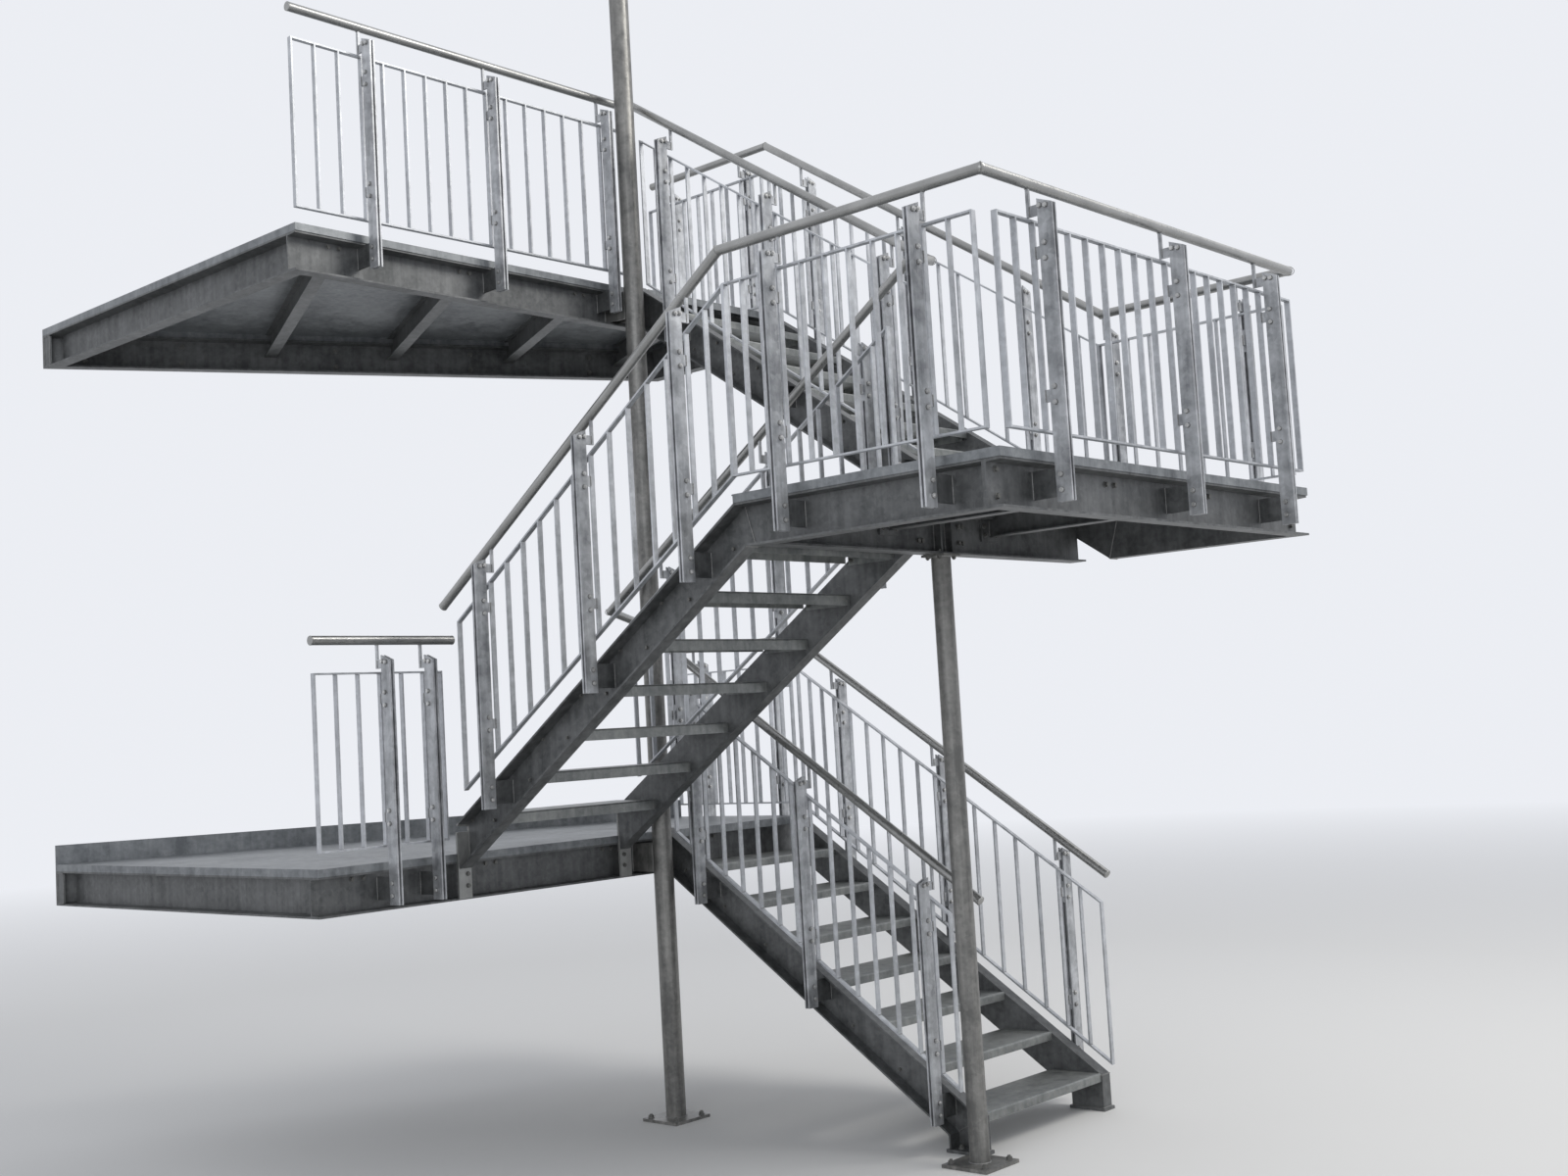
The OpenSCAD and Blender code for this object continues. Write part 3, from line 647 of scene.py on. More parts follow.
@dataclass
class Finishes:
    """All finishes of the stair, built once."""

    channel: Material = field(init=False)
    stringer: Material = field(init=False)
    deck: Material = field(init=False)
    tread: Material = field(init=False)
    flat: Material = field(init=False)
    panel: Material = field(init=False)
    post: Material = field(init=False)
    tube: Material = field(init=False)
    lit_rail_bolt: Material = field(init=False)
    shaded_frame_bolt: Material = field(init=False)
    washer: Material = field(init=False)
    weld: Material = field(init=False)

    def __post_init__(self) -> None:
        """Builds the materials."""
        pale, dull = (0.205, 0.21, 0.212), (0.08, 0.084, 0.085)
        self.channel = ZincFinish("zinc_channel", pale, dull, roughness=0.47).build()
        self.stringer = ZincFinish(
            "zinc_stringer",
            pale,
            dull,
            roughness=0.47,
            # Painted light: the end plates are made paler to stand in for the light on their faces.
            plate=(0.42, 0.425, 0.415),
            plate_end=SIZES.front_x + SIZES.end_plate + 0.0003,
        ).build()
        pale, dull = (0.30, 0.315, 0.325), (0.135, 0.145, 0.155)
        self.deck = ZincFinish("zinc_deck", pale, dull, roughness=0.42).build()
        pale, dull = (0.34, 0.35, 0.34), (0.16, 0.17, 0.17)
        self.tread = ZincFinish("zinc_tread", pale, dull, roughness=0.42).build()
        pale, dull = (0.64, 0.655, 0.675), (0.235, 0.243, 0.255)
        self.flat = ZincFinish(
            "zinc_post_flat",
            pale,
            dull,
            roughness=0.38,
            spangle=42.0,
            streak=0.3,
            cloud=0.42,
            blotches=13.0,
        ).build()
        pale, dull = (0.64, 0.66, 0.69), (0.36, 0.372, 0.39)
        self.panel = ZincFinish("zinc_bar", pale, dull, roughness=0.42).build()
        pale, dull = (0.31, 0.305, 0.29), (0.14, 0.14, 0.135)
        self.post = ZincFinish(
            "zinc_round_post", pale, dull, roughness=0.40, metallic=0.6, spangle=60.0, streak=0.45
        ).build()
        self.tube = TubeFinish("satin_tube", (0.42, 0.42, 0.41)).build()
        # Painted light and shade: all bolts are one zinc. The railing's bolts get a bright copy
        # that stands in for lit heads, and the frame's bolts a dark copy that stands in for shaded
        # ones.
        self.lit_rail_bolt = FastenerFinish(
            "zinc_rail_bolt_lit", (0.70, 0.70, 0.69), roughness=0.3
        ).build()
        self.shaded_frame_bolt = FastenerFinish(
            "zinc_frame_bolt_shaded", (0.20, 0.20, 0.19), roughness=0.45, metallic=0.6
        ).build()
        pale, dull = (0.30, 0.30, 0.29), (0.13, 0.13, 0.13)
        self.washer = ZincFinish("zinc_washer", pale, dull, metallic=0.55, spangle=120.0).build()
        pale, dull = (0.33, 0.33, 0.32), (0.16, 0.16, 0.16)
        self.weld = ZincFinish("zinc_weld", pale, dull, metallic=0.55, spangle=90.0).build()


@dataclass
class CarriedNodes:
    """Gives each solid of the frame its finish."""

    frame: dict
    finishes: Finishes

    def finish_for(self, node: str) -> Material:
        """The finish of a node, by the kind of piece that its name says.

        Args:
            node: the node's name.

        Returns:
            Its material.
        """
        kinds = {
            "handrail": self.finishes.tube,
            # Painted shade: the rail brackets take the darker channel finish, standing in for the
            # shade they sit in.
            "rail_brackets": self.finishes.channel,
            "stringers": self.finishes.stringer,
            "panel": self.finishes.panel,
            "_posts": self.finishes.flat,
            "_post": self.finishes.post,
            "treads": self.finishes.tread,
            "deck": self.finishes.deck,
            "upstand": self.finishes.deck,
        }
        for word, material in kinds.items():
            if word in node:
                return material
        return self.finishes.channel

    def dress(self) -> None:
        """Assigns the finishes."""
        for name, piece in self.frame["nodes"].items():
            material = self.finish_for(name)
            piece.data.materials.clear()
            piece.data.materials.append(material)
            log.info("solid %s: %s", name, material.name)


@dataclass(frozen=True)
class Bolt:
    """One end of a bolt.

    Attributes:
        place: where it sits on its plate.
        axis: the way that it points, away from the plate.
        end: whether it is a head or a nut.
    """

    place: Vector
    axis: Vector
    end: BoltEnd = BoltEnd.HEAD


def through_bolt(middle: Vector, axis: Vector, grip: float) -> list[Bolt]:
    """A bolt through plates: a head on one side and a nut on the other.

    Args:
        middle: middle of the plates on the bolt's line.
        axis: direction of the bolt.
        grip: total thickness of the plates.

    Returns:
        The two ends.
    """
    half = axis * (grip / 2)
    return [Bolt(middle - half, -axis), Bolt(middle + half, axis, BoltEnd.NUT)]


def bolt_along_x(y: float, z: float, head_x: float, nut_x: float) -> list[Bolt]:
    """A bolt along X.

    Args:
        y: its place across the flights.
        z: its height.
        head_x: the face under its head.
        nut_x: the face under its nut.

    Returns:
        The two ends.
    """
    axis = OUT if head_x > nut_x else -OUT
    return [Bolt(Vector((head_x, y, z)), axis), Bolt(Vector((nut_x, y, z)), -axis, BoltEnd.NUT)]


def upright(x: float, y: float, low: float, high: float) -> Line:
    """A line straight up from one height to another."""
    return [Vector((x, y, low)), Vector((x, y, high))]


def around(a: tuple[float, float], b: tuple[float, float]) -> list[tuple[float, float]]:
    """Corners of a rectangle in order.

    Args:
        a: start and end of the rectangle in its first direction.
        b: start and end in its second direction.

    Returns:
        The four corners, and the first one again.
    """
    return [(a[0], b[0]), (a[1], b[0]), (a[1], b[1]), (a[0], b[1]), (a[0], b[0])]


def oval(
    middle: Vector, axes: tuple[Vector, Vector], radii: tuple[float, float], count: int
) -> Line:
    """Points of an oval.

    Args:
        middle: its centre.
        axes: the directions of its two axes.
        radii: the radius along each of them.
        count: how many points it has.

    Returns:
        The points in order, and the first one again.
    """
    turns = [math.tau * i / count for i in range(count)] + [0.0]
    steps = [(radii[0] * math.cos(t), radii[1] * math.sin(t)) for t in turns]
    return [middle + axes[0] * a + axes[1] * b for a, b in steps]


def linked(name: str, data: bpy.types.ID) -> bpy.types.Object:
    """Makes an object and links it to the scene.

    Args:
        name: the object's name.
        data: its mesh, light or camera.

    Returns:
        The object.
    """
    item = bpy.data.objects.new(name, data)
    bpy.context.scene.collection.objects.link(item)
    return item


def shaped(name: str, made: bmesh.types.BMesh, finishes: list[Material]) -> bpy.types.Object:
    """Turns a bmesh at the origin into an object.

    Args:
        name: the object's name.
        made: the shape, which is freed.
        finishes: its materials in order.

    Returns:
        The object.
    """
    mesh = bpy.data.meshes.new(name)
    made.to_mesh(mesh)
    made.free()
    for finish in finishes:
        mesh.materials.append(finish)
    return linked(name, mesh)


def join_pieces(name: str, pieces: list[bpy.types.Object]) -> bpy.types.Object:
    """Joins mesh objects at the origin into one new object.

    Args:
        name: the new object's name.
        pieces: the objects, which are removed.

    Returns:
        The new object, each face with its own finish.
    """
    joined = bmesh.new()
    materials: list[Material] = []
    for piece in pieces:
        start = len(joined.faces)
        joined.from_mesh(piece.data)
        joined.faces.ensure_lookup_table()
        own = list(piece.data.materials)
        materials += [m for m in own if m not in materials]
        for face in joined.faces[start:]:
            face.material_index = materials.index(own[face.material_index])
        bpy.data.objects.remove(piece)
    return shaped(name, joined, materials)


def settle(piece: bpy.types.Object) -> None:
    """Rides a finished piece on the stair's one body.

    Args:
        piece: the finished piece.
    """
    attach(piece, "root")
    log.info("piece %s: %d faces", piece.name, len(piece.data.polygons))


class GeometryTree:
    """A Geometry Nodes tree with named inputs, which runs on points or lines."""

    def __init__(self, name: str, numbers: dict[str, float], finishes: tuple[str, ...]) -> None:
        """Makes the inputs and the output.

        Args:
            name: the tree's name.
            numbers: the number inputs, each with its default.
            finishes: the material inputs.
        """
        self.tree = bpy.data.node_groups.new(name, "GeometryNodeTree")
        self.keys: dict[str, str] = {}
        kinds = {"Geometry": "NodeSocketGeometry"}
        kinds |= {label: "NodeSocketFloat" for label in numbers}
        kinds |= {label: "NodeSocketMaterial" for label in finishes}
        sockets = self.tree.interface
        for label, kind in kinds.items():
            socket = sockets.new_socket(label, in_out="INPUT", socket_type=kind)
            self.keys[label] = socket.identifier
            if label in numbers:
                socket.default_value = numbers[label]
        sockets.new_socket("Geometry", in_out="OUTPUT", socket_type="NodeSocketGeometry")

    def run(self, name: str, mesh: bpy.types.Mesh, values: dict[str, object]) -> bpy.types.Object:
        """Runs the tree on a mesh.

        Args:
            name: the result's name.
            mesh: points or lines.
            values: what each input gets.

        Returns:
            The result as a plain mesh object at the origin.
        """
        source = linked(name + "_source", mesh)
        modifier = source.modifiers.new("nodes", "NODES")
        modifier.node_group = self.tree
        for label, value in values.items():
            modifier[self.keys[label]] = value
        graph = bpy.context.evaluated_depsgraph_get()
        result = bpy.data.meshes.new_from_object(source.evaluated_get(graph), depsgraph=graph)
        result.name = name
        for attribute in [a.name for a in result.attributes if a.name in ("axis", "washer")]:
            result.attributes.remove(result.attributes[attribute])
        source.modifiers.clear()
        bpy.data.objects.remove(source)
        return linked(name, result)


BOLT_SIZES = {
    "Across Flats": 0.018,
    "Hexagon Height": 0.008,
    "Washer Width": 0.024,
    "Washer Height": 0.0025,
}


class BoltTree(GeometryTree):
    """Puts a washer with a hexagon on every point, along its axis.

    A head's hexagon has a low round top, and a nut's has the end of the thread.

    Attributes:
        washer_sides: sides of the washer.
        top_sides: sides of the round top or thread.
        tops: the top's radius against the width across flats, and its height against the
            hexagon's, for each kind of end.
        seed: seed of the hexagons' turns.
    """

    washer_sides: int = 14
    top_sides: int = 10
    tops: dict[BoltEnd, tuple[float, float]] = {
        BoltEnd.HEAD: (0.43, 0.14),
        BoltEnd.NUT: (0.31, 0.6),
    }
    seed: int = 7

    def __init__(self, end: BoltEnd) -> None:
        """Builds the tree of one kind of end."""
        super().__init__(end.value + "_on_washer", BOLT_SIZES, ("Finish", "Washer Finish"))
        self._fill(NodeSheet(self.tree), *self.tops[end])

    def _disc(
        self, sheet: NodeSheet, sides: int, radius: object, depth: object, base: object
    ) -> Socket:
        """A round or six-sided disc.

        Args:
            sheet: the tree.
            sides: its sides.
            radius: from its middle to its corners.
            depth: its height.
            base: the height that it stands on.

        Returns:
            The disc's mesh.
        """
        disc = sheet.add("GeometryNodeMeshCylinder", Vertices=sides, Radius=radius, Depth=depth)
        middle = sheet.math("ADD", base, sheet.math("MULTIPLY", depth, 0.5))
        lift = sheet.add("ShaderNodeCombineXYZ", Z=middle).outputs[0]
        moved = sheet.add("GeometryNodeTransform", Geometry=disc.outputs["Mesh"], Translation=lift)
        return moved.outputs[0]

    def _fill(self, sheet: NodeSheet, top_width: float, top_height: float) -> None:
        """Builds the nodes.

        Args:
            sheet: the empty tree.
            top_width: the top's radius against the width across flats.
            top_height: its height against the hexagon's.
        """
        given = sheet.add("NodeGroupInput").outputs
        flats, hex_h, washer_h = (
            given[label] for label in ("Across Flats", "Hexagon Height", "Washer Height")
        )
        washer_r = sheet.math("MULTIPLY", given["Washer Width"], 0.5)
        mark = sheet.add(
            "GeometryNodeStoreNamedAttribute",
            data_type="BOOLEAN",
            domain="FACE",
            Geometry=self._disc(sheet, self.washer_sides, washer_r, washer_h, 0.0),
            Name="washer",
            Value=True,
        )
        hex_r = sheet.math("MULTIPLY", flats, 1 / math.sqrt(3))
        hexagon = self._disc(sheet, 6, hex_r, hex_h, washer_h)
        top_base = sheet.math("ADD", washer_h, hex_h)
        top_r = sheet.math("MULTIPLY", flats, top_width)
        top_h = sheet.math("MULTIPLY", hex_h, top_height)
        top = self._disc(sheet, self.top_sides, top_r, top_h, top_base)
        join = sheet.add("GeometryNodeJoinGeometry")
        for piece in (mark.outputs[0], hexagon, top):
            self.tree.links.new(piece, join.inputs[0])
        axis = sheet.add("GeometryNodeInputNamedAttribute", data_type="FLOAT_VECTOR", Name="axis")
        turn = sheet.add("FunctionNodeAlignRotationToVector", axis="Z", Vector=axis.outputs[0])
        spin = sheet.add("FunctionNodeRandomValue", data_type="FLOAT", Seed=self.seed)
        spin.inputs[3].default_value = math.tau / 6
        spun = sheet.add("FunctionNodeAxisAngleToRotation", Angle=spin.outputs[1])
        both = sheet.add("FunctionNodeRotateRotation", rotation_space="LOCAL")
        sheet.put(both.inputs[0], turn.outputs[0])
        sheet.put(both.inputs[1], spun.outputs[0])
        points = sheet.add("GeometryNodeMeshToPoints", Mesh=given["Geometry"])
        placed = sheet.add(
            "GeometryNodeInstanceOnPoints",
            Points=points.outputs[0],
            Instance=join.outputs[0],
            Rotation=both.outputs[0],
        )
        real = sheet.add("GeometryNodeRealizeInstances", Geometry=placed.outputs[0]).outputs[0]
        coat = sheet.add("GeometryNodeSetMaterial", Geometry=real, Material=given["Finish"])
        ringed = sheet.add("GeometryNodeInputNamedAttribute", data_type="BOOLEAN", Name="washer")
        dull = sheet.add(
            "GeometryNodeSetMaterial",
            Geometry=coat.outputs[0],
            Material=given["Washer Finish"],
            Selection=ringed.outputs[0],
        )
        sheet.end("NodeGroupOutput", dull.outputs[0])


@dataclass
class BoltWorks:
    """Makes sets of bolts from lists of bolt ends."""

    finish: Material
    washer: Material
    trees: dict[BoltEnd, BoltTree] = field(init=False)

    def __post_init__(self) -> None:
        """Builds both trees."""
        self.trees = {end: BoltTree(end) for end in BoltEnd}

    def _set(self, name: str, end: BoltEnd, bolts: list[Bolt], scale: float) -> bpy.types.Object:
        """Makes the mesh of one kind of bolt end.

        Args:
            name: the mesh's name.
            end: heads or nuts.
            bolts: where they sit.
            scale: size against a bolt of 12 mm.

        Returns:
            The plain mesh object.
        """
        mesh = bpy.data.meshes.new(name)
        mesh.from_pydata([tuple(b.place) for b in bolts], [], [])
        axes = mesh.attributes.new("axis", "FLOAT_VECTOR", "POINT")
        for item, bolt in zip(axes.data, bolts):
            item.vector = bolt.axis
        values: dict[str, object] = {label: size * scale for label, size in BOLT_SIZES.items()}
        values |= {"Finish": self.finish, "Washer Finish": self.washer}
        return self.trees[end].run(name, mesh, values)

    def make(self, name: str, bolts: list[Bolt], scale: float) -> None:
        """Makes one piece from bolt ends.

        Args:
            name: the piece's name.
            bolts: heads and nuts.
            scale: size against a bolt of 12 mm.
        """
        parts = []
        for end in BoltEnd:
            chosen = [b for b in bolts if b.end is end]
            if chosen:
                parts.append(self._set(f"{name}_{end.value}s", end, chosen, scale))
        settle(join_pieces(name, parts))


BEAD_SIZES = {"Radius": 0.004, "Step": 0.005, "Ripple": 0.16}


class BeadTree(GeometryTree):
    """Lays a rippled weld bead along every edge chain of a mesh.

    Attributes:
        sides: sides of the bead.
        wave: how far the ripple turns from one section to the next, in radians.
        chance: most that chance adds to the wave, or takes from it.
        seed: seed of that chance.
    """

    sides: int = 7
    wave: float = 2.4
    chance: float = 0.4
    seed: int = 11

    def __init__(self) -> None:
        """Builds the tree."""
        super().__init__("weld_bead", BEAD_SIZES, ("Finish",))
        self._fill(NodeSheet(self.tree))

    def _fill(self, sheet: NodeSheet) -> None:
        """Builds the nodes.

        Args:
            sheet: the empty tree.
        """
        given = sheet.add("NodeGroupInput").outputs
        curve = sheet.add("GeometryNodeMeshToCurve", Mesh=given["Geometry"]).outputs[0]
        cut = sheet.add(
            "GeometryNodeResampleCurve", mode="LENGTH", Curve=curve, Length=given["Step"]
        )
        index = sheet.add("GeometryNodeInputIndex").outputs[0]
        wave = sheet.math("SINE", sheet.math("MULTIPLY", index, self.wave))
        noise = sheet.add("FunctionNodeRandomValue", data_type="FLOAT", Seed=self.seed)
        noise.inputs[2].default_value = -self.chance
        noise.inputs[3].default_value = self.chance
        uneven = sheet.math("ADD", wave, noise.outputs[1])
        swell = sheet.math("MULTIPLY", uneven, given["Ripple"])
        radius = sheet.math("MULTIPLY", sheet.math("ADD", swell, 1.0), given["Radius"])
        ring = sheet.add("GeometryNodeCurvePrimitiveCircle", Resolution=self.sides, Radius=1.0)
        tube = sheet.add("GeometryNodeCurveToMesh", Curve=cut.outputs[0], Fill_Caps=True)
        sheet.put(tube.inputs["Profile Curve"], ring.outputs[0])
        sheet.put(tube.inputs["Scale"], radius)
        real = sheet.add("GeometryNodeRealizeInstances", Geometry=tube.outputs[0]).outputs[0]
        coat = sheet.add("GeometryNodeSetMaterial", Geometry=real, Material=given["Finish"])
        sheet.end("NodeGroupOutput", coat.outputs[0])


@dataclass
class WeldWorks:
    """Makes weld beads along lines."""

    finish: Material
    closed: float = 1e-6
    tree: BeadTree = field(init=False)

    def __post_init__(self) -> None:
        """Builds the tree."""
        self.tree = BeadTree()

    def make(
        self, name: str, lines: list[Line], radius: float, step: float = BEAD_SIZES["Step"]
    ) -> None:
        """Makes one piece of beads.

        Args:
            name: the piece's name.
            lines: chains of points; a chain that ends where it starts is a ring.
            radius: middle radius of the bead.
            step: distance between its sections.
        """
        points: list[Point] = []
        edges: list[tuple[int, int]] = []
        for line in lines:
            ring = (line[0] - line[-1]).length < self.closed
            chain = line[:-1] if ring else line
            start = len(points)
            points += [tuple(p) for p in chain]
            edges += [(start + k, start + k + 1) for k in range(len(chain) - 1)]
            if ring:
                edges.append((start + len(chain) - 1, start))
        mesh = bpy.data.meshes.new(name)
        mesh.from_pydata(points, edges, [])
        values = BEAD_SIZES | {"Radius": radius, "Step": step, "Finish": self.finish}
        piece = self.tree.run(name, mesh, values)
        for face in piece.data.polygons:
            face.use_smooth = True
        settle(piece)


@dataclass
class RailingPosts:
    """Bolts and welds of the railing posts: arm, two lugs and foot bracket.

    Attributes:
        out: how far a post stands outside the deck's edge.
        grip: both flats of a post with the gap between them.
        gap: the gap, which arm, lugs and bracket fill.
        top: top of a post above the deck or nosing line.
        arm_low: underside of the arm.
        arm_seam: start and end of the stem's seams on the arm, above the arm's underside.
        arm_drop: depth of the inner arm bolt below the post's top.
        arm_fall: how much lower the outer one sits.
        arm_in: places of both arm bolts outwards from the post's inner edge.
        stem: width of the stem between arm and tube.
        stem_rise: height of the stem's bead above the tube's underside.
        panel_lo: lower edge of the panels above a deck.
        panel_hi: their upper edge.
        panel_face: the panels' outer face, inwards from the edge.
        lug_up: middle of the lower lug above the panel's lower edge.
        lug_down: middle of the upper lug below the panel's upper edge.
        lug_bolt: distance of the lug bolts from the lug's middle.
        lug_in: place of the lug bolts outwards from the post's inner edge.
        neck: height of a lug where it meets the panel.
        flight_drop: how much lower the panels stand beside a flight.
        deck_foot: depth of a post's foot below a deck.
        upper_foot: the same for the upper platform's front posts.
        climb_foot: the same below flight 2's nosing line.
        fall_foot: the same below the nosing lines of flights 1 and 3.
        foot_bolts: heights of the foot bolts above the foot.
        foot_in: their place outwards from the post's inner edge.
        bracket_rise: underside of the foot bracket above the foot.
        bracket_h: height of the bracket.
        climb_x: posts of flight 2.
        fall_near_x: posts of flights 1 and 3 beside the well.
        fall_far_x: their posts on the far side.
        landing_x: posts of the landing's near and far side.
        landing_y: posts of its outer side.
        lower_y: posts on the lower platform's front.
        upper_y: posts on the upper platform's front.
        side_x: posts on the platforms' far side.
        scale: size of the bolts.
        bead: radius of the welds.
    """

    sizes: StairSizes
    bolts: BoltWorks
    welds: WeldWorks
    out: float = 0.045
    grip: float = 0.026
    gap: float = 0.010
    top: float = 0.930
    arm_low: float = 0.870
    arm_seam: tuple[float, float] = (0.003, 0.037)
    arm_drop: float = 0.029
    arm_fall: float = 0.004
    arm_in: tuple[float, float] = (0.012, 0.038)
    stem: float = 0.014
    stem_rise: float = 0.001
    panel_lo: float = 0.068
    panel_hi: float = 0.855
    panel_face: float = -0.0225
    lug_up: float = 0.133
    lug_down: float = 0.123
    lug_bolt: float = 0.029
    lug_in: float = 0.023
    neck: float = 0.045
    flight_drop: float = 0.022
    deck_foot: float = 0.190
    upper_foot: float = 0.166
    climb_foot: float = 0.205
    fall_foot: float = 0.162
    foot_bolts: tuple[float, float] = (0.042, 0.098)
    foot_in: float = 0.024
    bracket_rise: float = 0.020
    bracket_h: float = 0.105
    climb_x: tuple[float, ...] = (0.220, 0.944, 1.564)
    fall_near_x: tuple[float, ...] = (0.219, 0.927, 1.635)
    fall_far_x: tuple[float, ...] = (0.182, 0.853, 1.590)
    landing_x: tuple[float, ...] = (2.091, 2.807)
    landing_y: tuple[float, ...] = (-0.902, 0.050, 0.856)
    lower_y: tuple[float, ...] = (-1.594, -1.357)
    upper_y: tuple[float, ...] = (-1.566, -0.834, -0.081)
    side_x: tuple[float, ...] = (-0.300, -0.900)
    scale: float = 0.9
    bead: float = 0.0028

    def lug_levels(self, drop: float) -> tuple[float, float]:
        """Heights of the two lugs."""
        return self.panel_lo + self.lug_up - drop, self.panel_hi - self.lug_down - drop

    def ends(self, place: EdgePlace, foot: float, drop: float) -> list[Bolt]:
        """The bolt ends of one post.

        Args:
            place: where the post stands.
            foot: depth of its foot below the deck or nosing line.
            drop: how much lower the panel stands beside a flight.

        Returns:
            Eight bolts' ends.
        """
        arm_top = self.top - self.arm_drop
        spots = [(self.arm_in[0], arm_top), (self.arm_in[1], arm_top - self.arm_fall)]
        for z in self.lug_levels(drop):
            spots += [(self.lug_in, z + dz) for dz in (-self.lug_bolt, self.lug_bolt)]
        spots += [(self.foot_in, up - foot) for up in self.foot_bolts]
        result = []
        for outwards, up in spots:
            middle = place.at(0, -self.out - outwards, up)
            result += through_bolt(middle, place.run_axis(), self.grip)
        return result

    def seams(self, place: EdgePlace, foot: float, drop: float) -> list[Line]:
        """Weld lines of one post: bracket on the web, lugs on the panel, stem on arm and tube.

        Args:
            place: where the post stands.
            foot: depth of its foot below the deck or nosing line.
            drop: how much lower the panel stands beside a flight.

        Returns:
            The lines.
        """
        s = self.sizes
        faces = (-self.gap / 2, self.gap / 2)
        low = self.bracket_rise - foot
        web = s.flange - s.web
        lines = [place.upright(face, web, low, low + self.bracket_h) for face in faces]
        reach = self.neck / 2
        for z in self.lug_levels(drop):
            lines += [place.upright(face, self.panel_face, z - reach, z + reach) for face in faces]
        half = self.stem / 2
        head = s.handrail_h - s.tube / 2 + self.stem_rise
        lines.append([place.at(a, b, head) for a, b in around(faces, (-half, half))])
        start, end = (self.arm_low + up for up in self.arm_seam)
        return lines + [place.upright(face, -half, start, end) for face in faces]

    def climbing(self) -> list[EdgePlace]:
        """Places of flight 2's posts.

        Returns:
            The places from the lowest up, near and far in turn.
        """
        s = self.sizes
        sides = ((Side.NEAR, s.near_y), (Side.FAR, s.near_in_y))
        return [EdgePlace(side, y, x, s.line_up(x)) for x in self.climb_x for side, y in sides]

    def falling(self, level: float) -> list[EdgePlace]:
        """Places of the posts of a flight that falls from a level.

        Args:
            level: height of the platform above it.

        Returns:
            The places of its near side, then those of its far side.
        """
        s = self.sizes
        sides = ((Side.NEAR, s.far_in_y, self.fall_near_x), (Side.FAR, s.far_y, self.fall_far_x))
        return [EdgePlace(side, y, x, s.line_down(x, level)) for side, y, xs in sides for x in xs]

    def group(self, name: str, places: list[EdgePlace], foot: float, drop: float = 0.0) -> None:
        """Makes bolts and welds of one group of posts.

        Args:
            name: start of the two pieces' names.
            places: where the posts stand.
            foot: depth of their feet below the deck or nosing line.
            drop: how much lower the panels stand beside a flight.
        """
        ends = [end for place in places for end in self.ends(place, foot, drop)]
        self.bolts.make(name + "_bolts", ends, self.scale)
        lines = [line for place in places for line in self.seams(place, foot, drop)]
        self.welds.make(name + "_welds", lines, self.bead)

    def build(self) -> None:
        """Makes every group of posts."""
        s = self.sizes
        self.group("flight_1_post", self.falling(s.lower), self.fall_foot, self.flight_drop)
        self.group("flight_2_post", self.climbing(), self.climb_foot, self.flight_drop)
        self.group("flight_3_post", self.falling(s.upper), self.fall_foot, self.flight_drop)
        edges = ((Side.NEAR, s.near_y), (Side.FAR, s.far_y))
        landing = [EdgePlace(side, y, x, s.landing) for x in self.landing_x for side, y in edges]
        landing += [EdgePlace(Side.OUTER, s.outer_x, y, s.landing) for y in self.landing_y]
        self.group("landing_post", landing, self.deck_foot)
        for word, level, front_y, foot in (
            ("lower", s.lower, self.lower_y, self.deck_foot),
            ("upper", s.upper, self.upper_y, self.upper_foot),
        ):
            front = [EdgePlace(Side.OUTER, s.front_x, y, level) for y in front_y]
            self.group(word + "_front_post", front, foot)
            sides = [EdgePlace(Side.FAR, s.far_y, x, level) for x in self.side_x]
            self.group(word + "_side_post", sides, self.deck_foot)


@dataclass
class PanelWelds:
    """Small welds where the bars of the infill panels meet their rails.

    Attributes:
        bead: radius of the welds.
        step: distance between their sections.
        least_turn: angle between two faces above which they meet in a corner, in radians.
        inset: how far a weld stays off the ends of its corner, against the corner's length.
        same: distance below which two vertices are one.
    """

    frame: dict
    welds: WeldWorks
    bead: float = 0.0018
    step: float = 0.006
    least_turn: float = 0.5
    inset: float = 0.06
    same: float = 1e-5

    def seams(self, piece: bpy.types.Object) -> list[Line]:
        """The inner edges of a panel, where a bar stands on a rail.

        Args:
            piece: the panel's solid.

        Returns:
            One line for each edge, a little shorter than the edge.
        """
        merged = bmesh.new()
        merged.from_mesh(piece.data)
        bmesh.ops.remove_doubles(merged, verts=merged.verts, dist=self.same)
        merged.normal_update()
        lines = []
        for edge in merged.edges:
            hollow = len(edge.link_faces) == 2 and not edge.is_convex
            if hollow and edge.calc_face_angle() > self.least_turn:
                a, b = (v.co.copy() for v in edge.verts)
                lines.append([a.lerp(b, self.inset), a.lerp(b, 1 - self.inset)])
        merged.free()
        return lines

    def build(self) -> None:
        """Makes one piece of welds for each panel."""
        for name, piece in self.frame["nodes"].items():
            if "panel" in name:
                self.welds.make(name + "_welds", self.seams(piece), self.bead, self.step)


